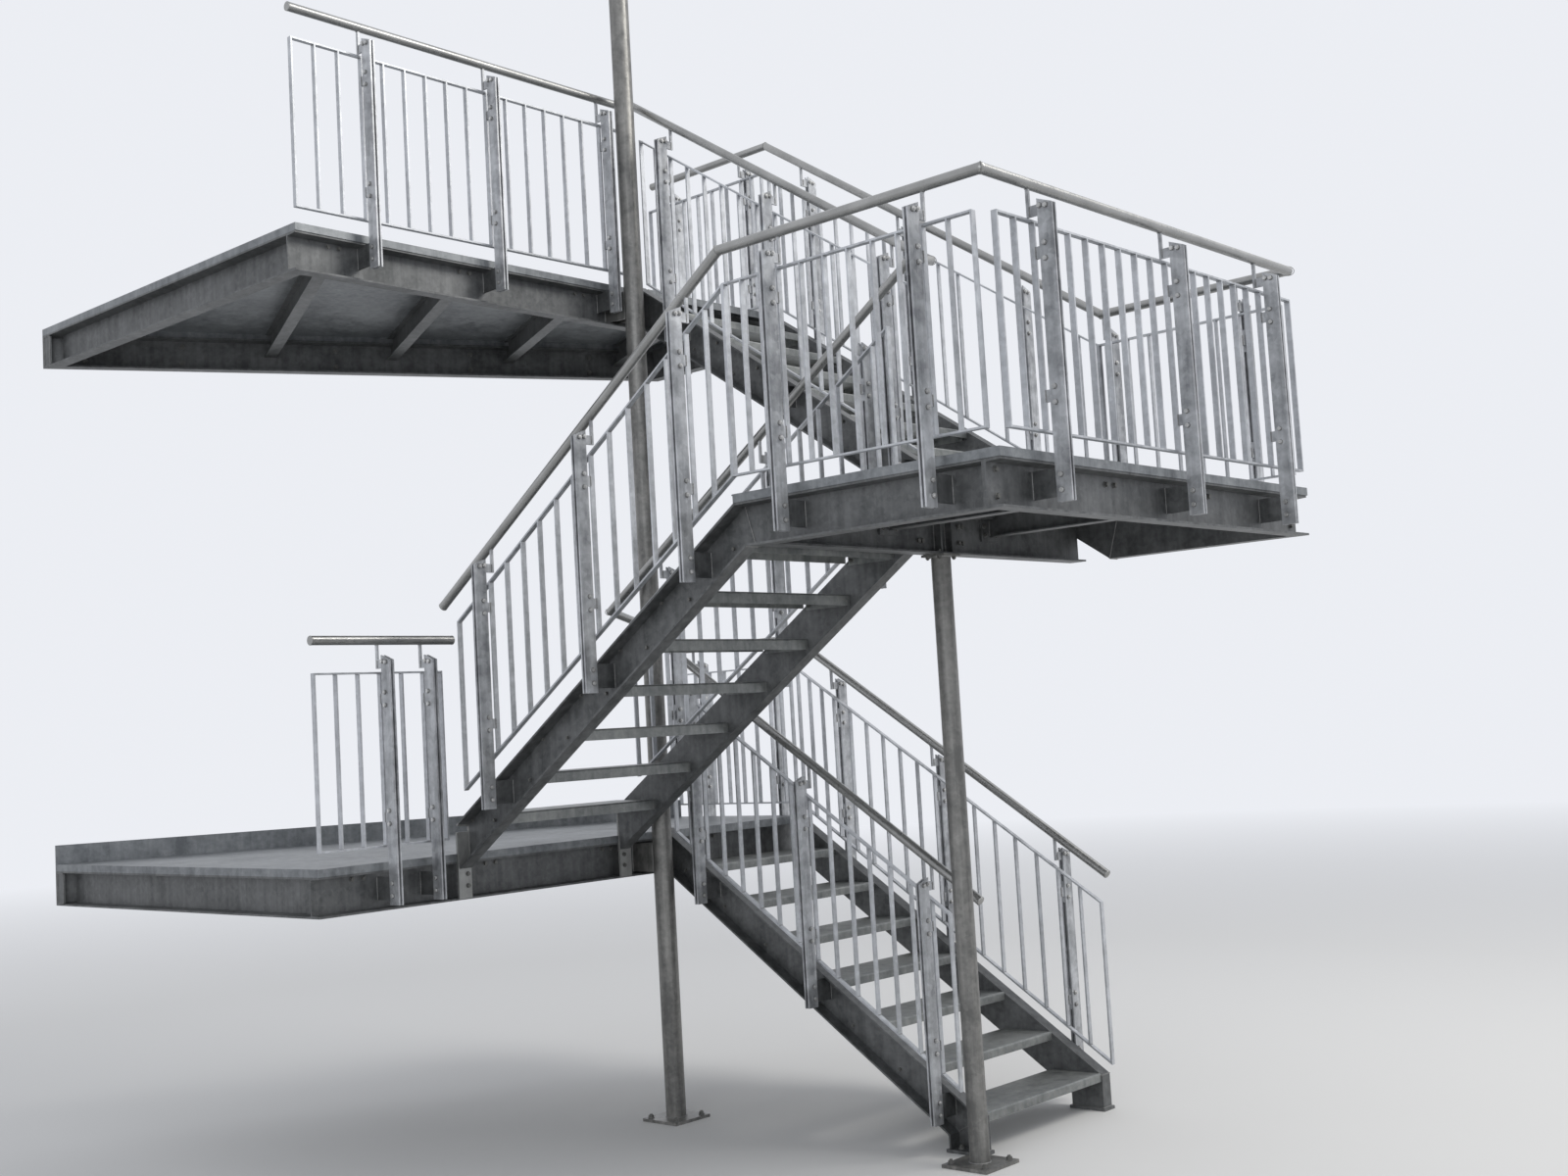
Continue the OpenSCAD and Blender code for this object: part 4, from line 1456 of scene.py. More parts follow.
@dataclass
class TreadFixings:
    """Two bolts at each end of every tread, and the welds of its end cleats.

    Attributes:
        first: the first bolt behind the tread's nosing.
        apart: distance between the two bolts.
        below: depth of the bolts below the tread's top.
        cleat: thickness of a cleat, and of the web that it is bolted to.
        sheet: thickness of the tread's sheet.
        seams: start and end of each cleat's two seams behind the nosing.
        scale: size of the bolts.
        bead: radius of the welds.
    """

    sizes: StairSizes
    bolts: BoltWorks
    welds: WeldWorks
    first: float = 0.045
    apart: float = 0.165
    below: float = 0.030
    cleat: float = 0.008
    sheet: float = 0.004
    seams: tuple[tuple[float, float], ...] = ((0.040, 0.110), (0.165, 0.245))
    scale: float = 0.8
    bead: float = 0.0025

    def flight(self, number: int, nosings: list[Point], webs: tuple[float, float]) -> None:
        """Makes bolts and welds of one flight.

        Args:
            number: the flight's number.
            nosings: x and height of each tread's nosing, and the way to its back edge.
            webs: inner faces of the near and the far stringer.
        """
        ends: list[Bolt] = []
        lines: list[Line] = []
        for x, z, back in nosings:
            for y, out in zip(webs, (-1, 1)):
                for step in (self.first, self.first + self.apart):
                    middle = Vector((x + back * step, y, z - self.below))
                    ends += through_bolt(middle, Vector((0, -out, 0)), 2 * self.cleat)
                inner, under = y - out * self.cleat, z - self.sheet
                for seam in self.seams:
                    lines.append([Vector((x + back * along, inner, under)) for along in seam])
        self.bolts.make(f"flight_{number}_tread_bolts", ends, self.scale)
        self.welds.make(f"flight_{number}_tread_welds", lines, self.bead)

    def falling(self, number: int, level: float) -> None:
        """Makes those of a flight that falls from a level.

        Args:
            number: the flight's number.
            level: height of the platform above it.
        """
        s = self.sizes
        steps = range(1, s.treads + 1)
        nosings = [(s.arrival_x + k * s.going, level - k * s.riser, -1) for k in steps]
        self.flight(number, nosings, (s.far_in_y + s.flange, s.far_y - s.flange))

    def climbing(self, number: int) -> None:
        """Makes those of the flight that climbs from the lower platform.

        Args:
            number: the flight's number.
        """
        s = self.sizes
        steps = range(s.treads)
        nosings = [(s.front_x + k * s.going, s.lower + (k + 1) * s.riser, 1) for k in steps]
        self.flight(number, nosings, (s.near_y + s.flange, s.near_in_y - s.flange))

    def build(self) -> None:
        """Makes one set for each flight."""
        self.falling(1, self.sizes.lower)
        self.climbing(2)
        self.falling(3, self.sizes.upper)


@dataclass
class BeamFixings:
    """Bolts of end plates, joists, corners, wall and posts.

    Depths lie below a deck's top.

    Attributes:
        plate_in: bolts of a stringer's end plate, inwards from its edge.
        plate_depths: depths of those bolts.
        joists: how many joists a platform has.
        joist_first: middle of the first joist's cleat on the front beam.
        joist_pitch: distance between the cleats.
        joist_sides: bolts of a cleat, beside its middle.
        joist_depth: depth of those bolts.
        wall_y: places of the wall anchors.
        wall_depth: middle depth of the anchors.
        wall_half: distance of an anchor above or below it.
        landing_shift: how far the middle of a landing joist's bolts lies off the joist's.
        landing_half: distance of each bolt from that middle.
        landing_depth: depth of those bolts.
        corner_in: bolts of the landing's outer corners, inwards from the edge.
        corner_depths: depths of those bolts.
        cross_half: bolts between joists and cross beam, beside a joist's middle.
        cross_depths: depths of those bolts.
        well_in: bolts of the cross beam's end plates, outwards from the well.
        well_depths: depths of those bolts.
        head_x: bolts of the landing post's head along X.
        head_y: the same along Y.
        head_flange: thickness of the cross beam's flange.
        anchor_half: anchors of the round posts' foot plates from their middle.
        foot_in: anchors of flight 1's feet, inwards from the edge.
        foot_back: the same anchors from the feet's outer end.
        platform_scale: size of the platforms' bolts.
        wall_scale: size of the wall anchors.
        landing_scale: size of the landing's bolts.
        head_scale: size of the bolts of the landing post's head.
        anchor_scale: size of the anchors in the ground.
    """

    sizes: StairSizes
    bolts: BoltWorks
    plate_in: float = 0.0445
    plate_depths: tuple[float, ...] = (0.096, 0.151)
    joists: int = 4
    joist_first: float = -1.7215
    joist_pitch: float = 0.745
    joist_sides: tuple[float, ...] = (-0.011, 0.049)
    joist_depth: float = 0.064
    wall_y: tuple[float, ...] = (-1.75, -1.30, -0.55, 0.15, 0.80)
    wall_depth: float = 0.125
    wall_half: float = 0.045
    landing_shift: float = 0.005
    landing_half: float = 0.0305
    landing_depth: float = 0.079
    corner_in: float = 0.054
    corner_depths: tuple[float, ...] = (0.071, 0.168)
    cross_half: float = 0.045
    cross_depths: tuple[float, ...] = (0.075, 0.115)
    well_in: tuple[float, ...] = (0.018, 0.045)
    well_depths: tuple[float, ...] = (0.084, 0.159)
    head_x: float = 0.033
    head_y: float = 0.053
    head_flange: float = 0.008
    anchor_half: float = 0.09
    foot_in: float = 0.030
    foot_back: tuple[float, ...] = (0.048, 0.132)
    platform_scale: float = 0.95
    wall_scale: float = 1.25
    landing_scale: float = 1.05
    head_scale: float = 0.95
    anchor_scale: float = 1.3

    def platform(self, name: str, level: float, plates: list[tuple[Side, float]]) -> None:
        """Bolts of one platform.

        Args:
            name: word for the pieces' names.
            level: height of its deck.
            plates: side and outer edge of each stringer's end plate on its front.
        """
        s = self.sizes
        web_in = s.front_x - s.flange
        web_out = web_in + s.web
        ends: list[Bolt] = []
        for side, edge in plates:
            y = edge + side.inward * self.plate_in
            for depth in self.plate_depths:
                ends += bolt_along_x(y, level - depth, s.front_x + s.end_plate, web_in)
        for k in range(self.joists):
            for dy in self.joist_sides:
                y = self.joist_first + k * self.joist_pitch + dy
                ends += bolt_along_x(y, level - self.joist_depth, web_out, web_in - s.plate)
        self.bolts.make(name + "_platform_bolts", ends, self.platform_scale)
        turn = math.radians(s.wall_turn)
        axis = Vector((math.cos(turn), -math.sin(turn), 0))
        anchors = []
        for y in self.wall_y:
            for dz in (-self.wall_half, self.wall_half):
                wall = Vector((s.wall_x(y), y, level - self.wall_depth + dz))
                anchors.append(Bolt(wall + axis * s.web, axis, BoltEnd.NUT))
        self.bolts.make(name + "_wall_anchors", anchors, self.wall_scale)

    def landing(self) -> None:
        """Bolts of the mid landing."""
        s = self.sizes
        web_in = s.outer_x - s.flange
        web_out = web_in + s.web
        joists = (-s.landing_joist, s.landing_joist)
        ends: list[Bolt] = []
        for middle in joists:
            for dy in (-self.landing_half, self.landing_half):
                y = middle - self.landing_shift + dy
                z = s.landing - self.landing_depth
                ends += bolt_along_x(y, z, web_out, web_in - s.plate)
        for y in (s.near_y + self.corner_in, s.far_y - self.corner_in):
            for depth in self.corner_depths:
                ends += bolt_along_x(y, s.landing - depth, web_out, web_in - s.end_plate)
        face = s.cross_x + s.half_web
        for middle in joists:
            for dy in (-self.cross_half, self.cross_half):
                for depth in self.cross_depths:
                    back = s.cross_x - s.half_web
                    ends += bolt_along_x(middle + dy, s.landing - depth, back, face + s.plate)
        for edge, outward in ((s.near_in_y, -1), (s.far_in_y, 1)):
            for dy in self.well_in:
                for depth in self.well_depths:
                    place = Vector((face, edge + outward * dy, s.landing - depth))
                    ends.append(Bolt(place, OUT))
        self.bolts.make("landing_beam_bolts", ends, self.landing_scale)

    def post_head(self) -> None:
        """Bolts between the landing's post and its cross beam."""
        s = self.sizes
        low = s.beam_low(s.landing)
        head = []
        for x in (s.cross_x - self.head_x, s.cross_x + self.head_x):
            for y in (-self.head_y, self.head_y):
                head.append(Bolt(Vector((x, y, low + self.head_flange)), UP))
                head.append(Bolt(Vector((x, y, low - s.plate)), -UP, BoltEnd.NUT))
        self.bolts.make("landing_post_head_bolts", head, self.head_scale)

    def anchors(self) -> None:
        """Anchor nuts of the foot plates."""
        s = self.sizes
        pair = (-self.anchor_half, self.anchor_half)
        spots = [(x + dx, dy) for x in (0.0, s.cross_x) for dx in pair for dy in pair]
        for y in (s.far_in_y + self.foot_in, s.far_y - self.foot_in):
            spots += [(s.foot_x - back, y) for back in self.foot_back]
        nuts = [Bolt(Vector((x, y, s.foot_plate)), UP, BoltEnd.NUT) for x, y in spots]
        self.bolts.make("anchor_nuts", nuts, self.anchor_scale)

    def build(self) -> None:
        """Makes all of them."""
        s = self.sizes
        falling = [(Side.NEAR, s.far_in_y), (Side.FAR, s.far_y)]
        climbing = [(Side.NEAR, s.near_y), (Side.FAR, s.near_in_y)]
        self.platform("lower", s.lower, climbing + falling)
        self.platform("upper", s.upper, falling)
        self.landing()
        self.post_head()
        self.anchors()


@dataclass
class WallBeamEnds:
    """Plates that close the open ends of the wall beams.

    Attributes:
        finish: finish of the plates.
        thick: their thickness.
        lip: how far a plate sits inside the beam's end and its flanges' edges.
        bevel: width of its bevels.
        bead: radius of the weld around it.
    """

    sizes: StairSizes
    welds: WeldWorks
    finish: Material
    thick: float = 0.008
    lip: float = 0.004
    bevel: float = 0.001
    bead: float = 0.0025

    def span(self, y: float) -> tuple[float, float]:
        """Where a plate starts and ends along X.

        Args:
            y: a place across the platform.

        Returns:
            Start and end there.
        """
        s = self.sizes
        slant = math.cos(math.radians(s.wall_turn))
        return s.wall_x(y) + s.web / slant, s.wall_x(y) + (s.flange - self.lip) / slant

    def plate(self, level: float, end: float, inward: int) -> tuple[bpy.types.Object, Line]:
        """One plate and the line of its weld.

        Args:
            level: height of the platform's deck.
            end: the beam's end across the platform.
            inward: direction into the beam.

        Returns:
            The plate and a closed line around its outer face.
        """
        s = self.sizes
        outer = end + inward * self.lip
        inner = outer + inward * self.thick
        heights = (s.beam_low(level) + s.flange_t, level - s.beam_top - s.flange_t)
        made = bmesh.new()
        corners: dict[tuple[int, ...], bmesh.types.BMVert] = {}
        for j, y in enumerate((outer, inner)):
            for i, x in enumerate(self.span(y)):
                for k, z in enumerate(heights):
                    corners[i, j, k] = made.verts.new((x, y, z))
        # On each face, one of the three indices of its corners is the same.
        for fixed in range(3):
            for value in (0, 1):
                keys = [r[:fixed] + (value,) + r[fixed:] for r in around((0, 1), (0, 1))[:4]]
                made.faces.new([corners[key] for key in keys])
        bmesh.ops.recalc_face_normals(made, faces=made.faces)
        bmesh.ops.bevel(
            made, geom=list(made.edges), offset=self.bevel, segments=2, affect="EDGES"
        )
        seam = [Vector((x, outer, z)) for x, z in around(self.span(outer), heights)]
        return shaped("end_plate", made, [self.finish]), seam

    def build(self) -> None:
        """Makes the four plates and their welds."""
        s = self.sizes
        ends = ((s.far_y, -1), (s.left_y, 1))
        made = [self.plate(z, end, inward) for z in (s.lower, s.upper) for end, inward in ends]
        settle(join_pieces("wall_beam_end_plates", [piece for piece, _ in made]))
        self.welds.make("wall_beam_end_welds", [seam for _, seam in made], self.bead)


@dataclass
class FrameWelds:
    """Weld seams of the beams, the mitres and the round posts.

    Depths lie below a deck's top.

    Attributes:
        tall_r: radius of the tall post.
        landing_r: radius of the landing's post.
        tall_top: top of the tall post's head plate.
        ring_out: how far a post's bead sits outside its tube.
        ring_points: points of a post's ring.
        bracket_y: the tall post's two brackets beside its axis.
        flange_root: thickness of a channel's flanges at its web.
        bracket_gap: gap between the brackets and those flanges.
        plate_low: lower edge of the stringers' end plates, as a depth.
        web_gap: how far a stringer's seam beside its web stays off its flanges.
        inside_gap: how far its seam inside the web stops below the top.
        joist_half: half of a landing joist's web.
        joist_seam: lower and upper end of its seams, as depths.
        stiff_y: the cross beam's stiffeners beside the landing's middle.
        stiff_seam: lower and upper end of their seams.
        corner_seam: the same at the landing's outer corners.
        post_bead: radius of the beads of the round posts.
        mitre_bead: radius of the beads of the mitres.
        plate_bead: radius of the beads of the end plates.
    """

    sizes: StairSizes
    welds: WeldWorks
    tall_r: float = 0.0508
    landing_r: float = 0.04445
    tall_top: float = 6.420
    ring_out: float = 0.001
    ring_points: int = 32
    bracket_y: float = 0.028
    flange_root: float = 0.013
    bracket_gap: float = 0.005
    plate_low: float = 0.200
    web_gap: float = 0.022
    inside_gap: float = 0.010
    joist_half: float = 0.0022
    joist_seam: tuple[float, float] = (0.117, 0.047)
    stiff_y: float = 0.040
    stiff_seam: tuple[float, float] = (0.205, 0.045)
    corner_seam: tuple[float, float] = (0.200, 0.050)
    post_bead: float = 0.0045
    mitre_bead: float = 0.0032
    plate_bead: float = 0.0035

    def post_rings(self) -> None:
        """Rings at the feet and heads of both round posts, and seams of the tall one's brackets."""
        s = self.sizes
        first = UP.orthogonal().normalized()
        axes = (first, UP.cross(first).normalized())
        lines = []
        for x, tube_r, head in (
            (0.0, self.tall_r, self.tall_top - s.plate),
            (s.cross_x, self.landing_r, s.beam_low(s.landing) - s.plate),
        ):
            radii = (tube_r + self.ring_out, tube_r + self.ring_out)
            for z in (s.foot_plate, head):
                lines.append(oval(Vector((x, 0, z)), axes, radii, self.ring_points))
        web = s.front_x - s.flange + s.web
        for level in (s.lower, s.upper):
            top = level - s.beam_top - self.flange_root - self.bracket_gap
            bottom = s.beam_low(level) + self.flange_root + self.bracket_gap
            for middle in (-self.bracket_y, self.bracket_y):
                for y in (middle - s.plate / 2, middle + s.plate / 2):
                    tube = -math.sqrt(self.tall_r**2 - y**2)
                    lines += [upright(x, y, bottom, top) for x in (tube, web)]
        self.welds.make("round_post_welds", lines, self.post_bead)

    def mitre(self, side: Side, line: float, top: Vector, bottom: Vector) -> list[Line]:
        """Seam of a channel's mitre, seen from outside.

        Args:
            side: which way the flanges point.
            line: the outer edge.
            top: place of the mitre on the channel's top.
            bottom: place on its underside.

        Returns:
            Lines over the upper flange, down the web and under the lower flange.
        """
        s = self.sizes
        web_out = line + side.inward * (s.flange - s.web)
        web_in = line + side.inward * s.flange
        flange = (bottom - top) * (s.flange_t / s.channel_depth)
        over = ((line, top), (web_in, top), (web_in, bottom), (line, bottom))
        down = ((web_out, top + flange), (web_out, bottom - flange))
        return [[Vector((p.x, y, p.z)) for y, p in seam] for seam in (over, down)]

    def mitres(self) -> None:
        """Seams where the stringers turn level and where flight 1's turn upright."""
        s = self.sizes
        ratio = s.going / s.riser
        h = s.channel_depth
        top_z = s.landing - s.beam_top
        near_x = s.landing_x + (s.climb_drop - s.beam_top) * ratio
        far_x = s.knee_x - (s.fall_drop - s.beam_top) * ratio
        lean = h * math.tan(s.slope / 2)
        lines = []
        for side, line, x, lower_x in (
            (Side.NEAR, s.near_y, near_x, near_x + lean),
            (Side.FAR, s.far_y, far_x, far_x - lean),
        ):
            lines += self.mitre(side, line, Vector((x, 0, top_z)), Vector((lower_x, 0, top_z - h)))
        foot_z = s.line_down(s.foot_x, s.lower) - s.fall_drop
        inner_z = foot_z + h * math.tan(s.slope) - h / math.cos(s.slope)
        inner_x = s.foot_x - h
        top, bottom = Vector((s.foot_x, 0, foot_z)), Vector((inner_x, 0, inner_z))
        for side, line in ((Side.NEAR, s.far_in_y), (Side.FAR, s.far_y)):
            lines += self.mitre(side, line, top, bottom)
            web_in = line + side.inward * s.flange
            foot = ((s.foot_x, line), (s.foot_x, web_in), (inner_x, web_in), (inner_x, line))
            lines.append([Vector((x, y, s.foot_plate)) for x, y in foot])
        self.welds.make("mitre_welds", lines, self.mitre_bead)

    def stringer_ends(self) -> list[Line]:
        """Seams of the stringers on their end plates at the platforms.

        Returns:
            Two upright lines for each stringer, at the web and inside it.
        """
        s = self.sizes
        x = s.front_x + s.end_plate
        tall = s.channel_depth / math.cos(s.slope)
        climbs = s.line_up(x) - s.climb_drop
        ends = [(Side.NEAR, s.near_y, s.lower, climbs), (Side.FAR, s.near_in_y, s.lower, climbs)]
        for level in (s.lower, s.upper):
            falls = s.line_down(x, level) - s.fall_drop
            ends += [(Side.NEAR, s.far_in_y, level, falls), (Side.FAR, s.far_y, level, falls)]
        lines = []
        for side, line, level, top in ends:
            outside = line + side.inward * (s.flange - s.web)
            inside = line + side.inward * s.flange
            low = max(top - tall, level - self.plate_low)
            lines.append(upright(x, outside, low + self.web_gap, top - self.web_gap))
            lines.append(upright(x, inside, low, top - self.inside_gap))
        return lines

    def landing_plates(self) -> list[Line]:
        """Seams of the end plates and stiffeners of the mid landing.

        Returns:
            Upright lines beside each web.
        """
        s = self.sizes
        spots = []
        for middle in (-s.landing_joist, s.landing_joist):
            for face in (-self.joist_half, self.joist_half):
                for x in (s.cross_x + s.half_web + s.plate, s.outer_x - s.flange - s.plate):
                    spots.append((x, middle + face, self.joist_seam))
        for y in (-self.stiff_y, self.stiff_y):
            for face in (-s.plate / 2, s.plate / 2):
                for x in (s.cross_x - s.half_web, s.cross_x + s.half_web):
                    spots.append((x, y + face, self.stiff_seam))
        for side, line in ((Side.NEAR, s.near_y), (Side.FAR, s.far_y)):
            y = line + side.inward * (s.flange - s.web)
            spots.append((s.outer_x - s.flange - s.end_plate, y, self.corner_seam))
        return [upright(x, y, *(s.landing - depth for depth in seam)) for x, y, seam in spots]

    def build(self) -> None:
        """Makes all seams."""
        self.post_rings()
        self.mitres()
        plates = self.stringer_ends() + self.landing_plates()
        self.welds.make("end_plate_welds", plates, self.plate_bead)


@dataclass
class HandrailEnds:
    """Domed caps on the open ends of the handrails, and welded rings at their corners.

    Attributes:
        finish: finish of the caps.
        start: how far the outer handrail starts before the platforms' front edge.
        wall_gap: gap between the handrails and the wall.
        high_turn: turn of the inner handrail at the landing, on the near side, past its nosing.
        high_back: how much nearer it lies on the far side.
        low_turn: the turn at the lower platform before its front edge, on the near and far side.
        foot_ends: how far the inner and the ground handrail run out past flight 1's feet.
        lower_end: how far the lower handrail runs past flight 2's outer edge.
        sides: sides of a cap.
        rim: circles of a flat cap, outwards from the tube's skin and up.
        dome: the same of a domed cap, up to its flat top.
        dome_top: radius and height of that flat top.
        ring_out: how far a corner's bead sits outside the tube.
        ring_points: points of a corner's ring.
        bead: radius of those beads.
        step: distance between their sections.
    """

    sizes: StairSizes
    welds: WeldWorks
    finish: Material
    start: float = 0.030
    wall_gap: float = 0.040
    high_turn: float = 0.140
    high_back: float = 0.045
    low_turn: tuple[float, float] = (0.045, 0.098)
    foot_ends: tuple[float, float] = (0.082, 0.067)
    lower_end: float = 0.020
    sides: int = 28
    rim: tuple[tuple[float, float], ...] = (
        (-0.001, -0.006),
        (0.0007, -0.0055),
        (0.0007, -0.001),
        (0.0, -0.0002),
        (-0.001, -0.0002),
    )
    dome: tuple[tuple[float, float], ...] = (
        (0.0, -0.004),
        (0.0006, -0.003),
        (0.0006, 0.001),
        (-0.002, 0.0035),
        (-0.008, 0.0052),
    )
    dome_top: tuple[float, float] = (0.006, 0.0062)
    ring_out: float = 0.0004
    ring_points: int = 30
    bead: float = 0.0016
    step: float = 0.004

    def on_fall(self, x: float, y: float, level: float) -> Vector:
        """A point of the handrail beside a flight that falls from a level."""
        return Vector((x, y, self.sizes.line_down(x, level) + self.sizes.handrail_h))

    def on_climb(self, x: float, y: float) -> Vector:
        """A point of the handrail beside flight 2."""
        return Vector((x, y, self.sizes.line_up(x) + self.sizes.handrail_h))

    def on_deck(self, x: float, y: float, level: float) -> Vector:
        """A point of a level handrail."""
        return Vector((x, y, level + self.sizes.handrail_h))

    def runs(self) -> list[Line]:
        """Points of each handrail in order.

        Returns:
            The outer, inner, ground and lower handrail.
        """
        s = self.sizes
        wall = s.wall_x(s.far_y) + self.wall_gap
        turn = s.landing_x + self.high_turn
        outer = [
            self.on_climb(s.front_x - self.start, s.near_y),
            self.on_deck(s.landing_x, s.near_y, s.landing),
            self.on_deck(s.outer_x, s.near_y, s.landing),
            self.on_deck(s.outer_x, s.far_y, s.landing),
            self.on_deck(s.knee_x, s.far_y, s.landing),
            self.on_deck(s.arrival_x, s.far_y, s.upper),
            self.on_deck(wall, s.far_y, s.upper),
        ]
        inner = [
            self.on_deck(s.front_x, s.left_y, s.upper),
            self.on_deck(s.front_x, s.far_in_y, s.upper),
            self.on_deck(s.arrival_x, s.far_in_y, s.upper),
            self.on_fall(turn - self.high_back, s.far_in_y, s.upper),
            self.on_climb(turn, s.near_in_y),
            self.on_climb(s.front_x - self.low_turn[0], s.near_in_y),
            self.on_fall(s.front_x - self.low_turn[1], s.far_in_y, s.lower),
            self.on_fall(s.foot_x + self.foot_ends[0], s.far_in_y, s.lower),
        ]
        ground = [
            self.on_fall(s.foot_x + self.foot_ends[1], s.far_y, s.lower),
            self.on_deck(s.arrival_x, s.far_y, s.lower),
            self.on_deck(wall, s.far_y, s.lower),
        ]
        lower = [
            self.on_deck(s.front_x, s.left_y, s.lower),
            self.on_deck(s.front_x, s.near_y + self.lower_end, s.lower),
        ]
        return [outer, inner, ground, lower]

    def turned(
        self, end: Vector, before: Vector, profile: list[tuple[float, float]], ring: bool
    ) -> bpy.types.Object:
        """A turned piece on a tube's end.

        Args:
            end: the tube's end.
            before: a point back along the tube.
            profile: radius and height of each of its circles, from the tube outwards.
            ring: joins the last circle to the first, in place of two flat ends.

        Returns:
            The piece as a closed mesh.
        """
        turns = [math.tau * k / self.sides for k in range(self.sides)]
        made = bmesh.new()
        circles = []
        for r, z in profile:
            circles.append([made.verts.new((r * math.cos(a), r * math.sin(a), z)) for a in turns])
        following = circles[1:] + circles[:1] if ring else circles[1:]
        for low, high in zip(circles, following):
            for k in range(self.sides):
                n = (k + 1) % self.sides
                made.faces.new((low[k], low[n], high[n], high[k]))
        if not ring:
            made.faces.new(list(reversed(circles[0])))
            made.faces.new(circles[-1])
        bmesh.ops.recalc_face_normals(made, faces=made.faces)
        aim = (end - before).to_track_quat("Z", "Y").to_matrix().to_4x4()
        bmesh.ops.transform(made, matrix=Matrix.Translation(end) @ aim, verts=made.verts)
        piece = shaped("cap", made, [self.finish])
        for face in piece.data.polygons:
            face.use_smooth = len(face.vertices) == 4
        return piece

    def cap(self, end: Vector, before: Vector) -> bpy.types.Object:
        """A shallow dome on a free end, or a flat pressed-in cap's rim where the platform ends.

        Args:
            end: the tube's end.
            before: a point back along the tube.

        Returns:
            The cap.
        """
        r = self.sizes.tube / 2
        flat = math.isclose(end.y, self.sizes.left_y, abs_tol=0.001)
        profile = [(r + out, up) for out, up in (self.rim if flat else self.dome)]
        if not flat:
            profile.append(self.dome_top)
        return self.turned(end, before, profile, ring=flat)

    def corner_ring(self, before: Vector, corner: Vector, after: Vector) -> Line:
        """The oval where two tubes meet in a mitre.

        Args:
            before: a point back along the first tube.
            corner: where their axes meet.
            after: a point on along the second tube.

        Returns:
            Points of the oval, the first repeated at the end.
        """
        a = (corner - before).normalized()
        b = (after - corner).normalized()
        plane = (a + b).normalized()
        short = a.cross(plane).normalized()
        r = self.sizes.tube / 2 + self.ring_out
        radii = (r, r * (1 / math.cos(a.angle(b) / 2)))
        return oval(corner, (short, plane.cross(short).normalized()), radii, self.ring_points)

    def build(self) -> None:
        """Makes caps and corner rings."""
        caps = []
        rings = []
        for run in self.runs():
            caps += [self.cap(run[0], run[1]), self.cap(run[-1], run[-2])]
            rings += [self.corner_ring(*points) for points in zip(run, run[1:], run[2:])]
        settle(join_pieces("handrail_end_caps", caps))
        self.welds.make("handrail_corner_welds", rings, self.bead, self.step)


@dataclass(frozen=True)
class Lamp:
    """A square soft light."""

    name: str
    place: Point
    aim: Point
    size: float
    power: float
    colour: Point

    def build(self) -> None:
        """Makes the light."""
        data = bpy.data.lights.new(self.name, "AREA")
        data.shape = "SQUARE"
        data.size = self.size
        data.energy = self.power
        data.color = self.colour
        lamp = linked(self.name, data)
        lamp.location = self.place
        ahead = Vector(self.aim) - Vector(self.place)
        lamp.rotation_euler = ahead.to_track_quat("-Z", "Y").to_euler()


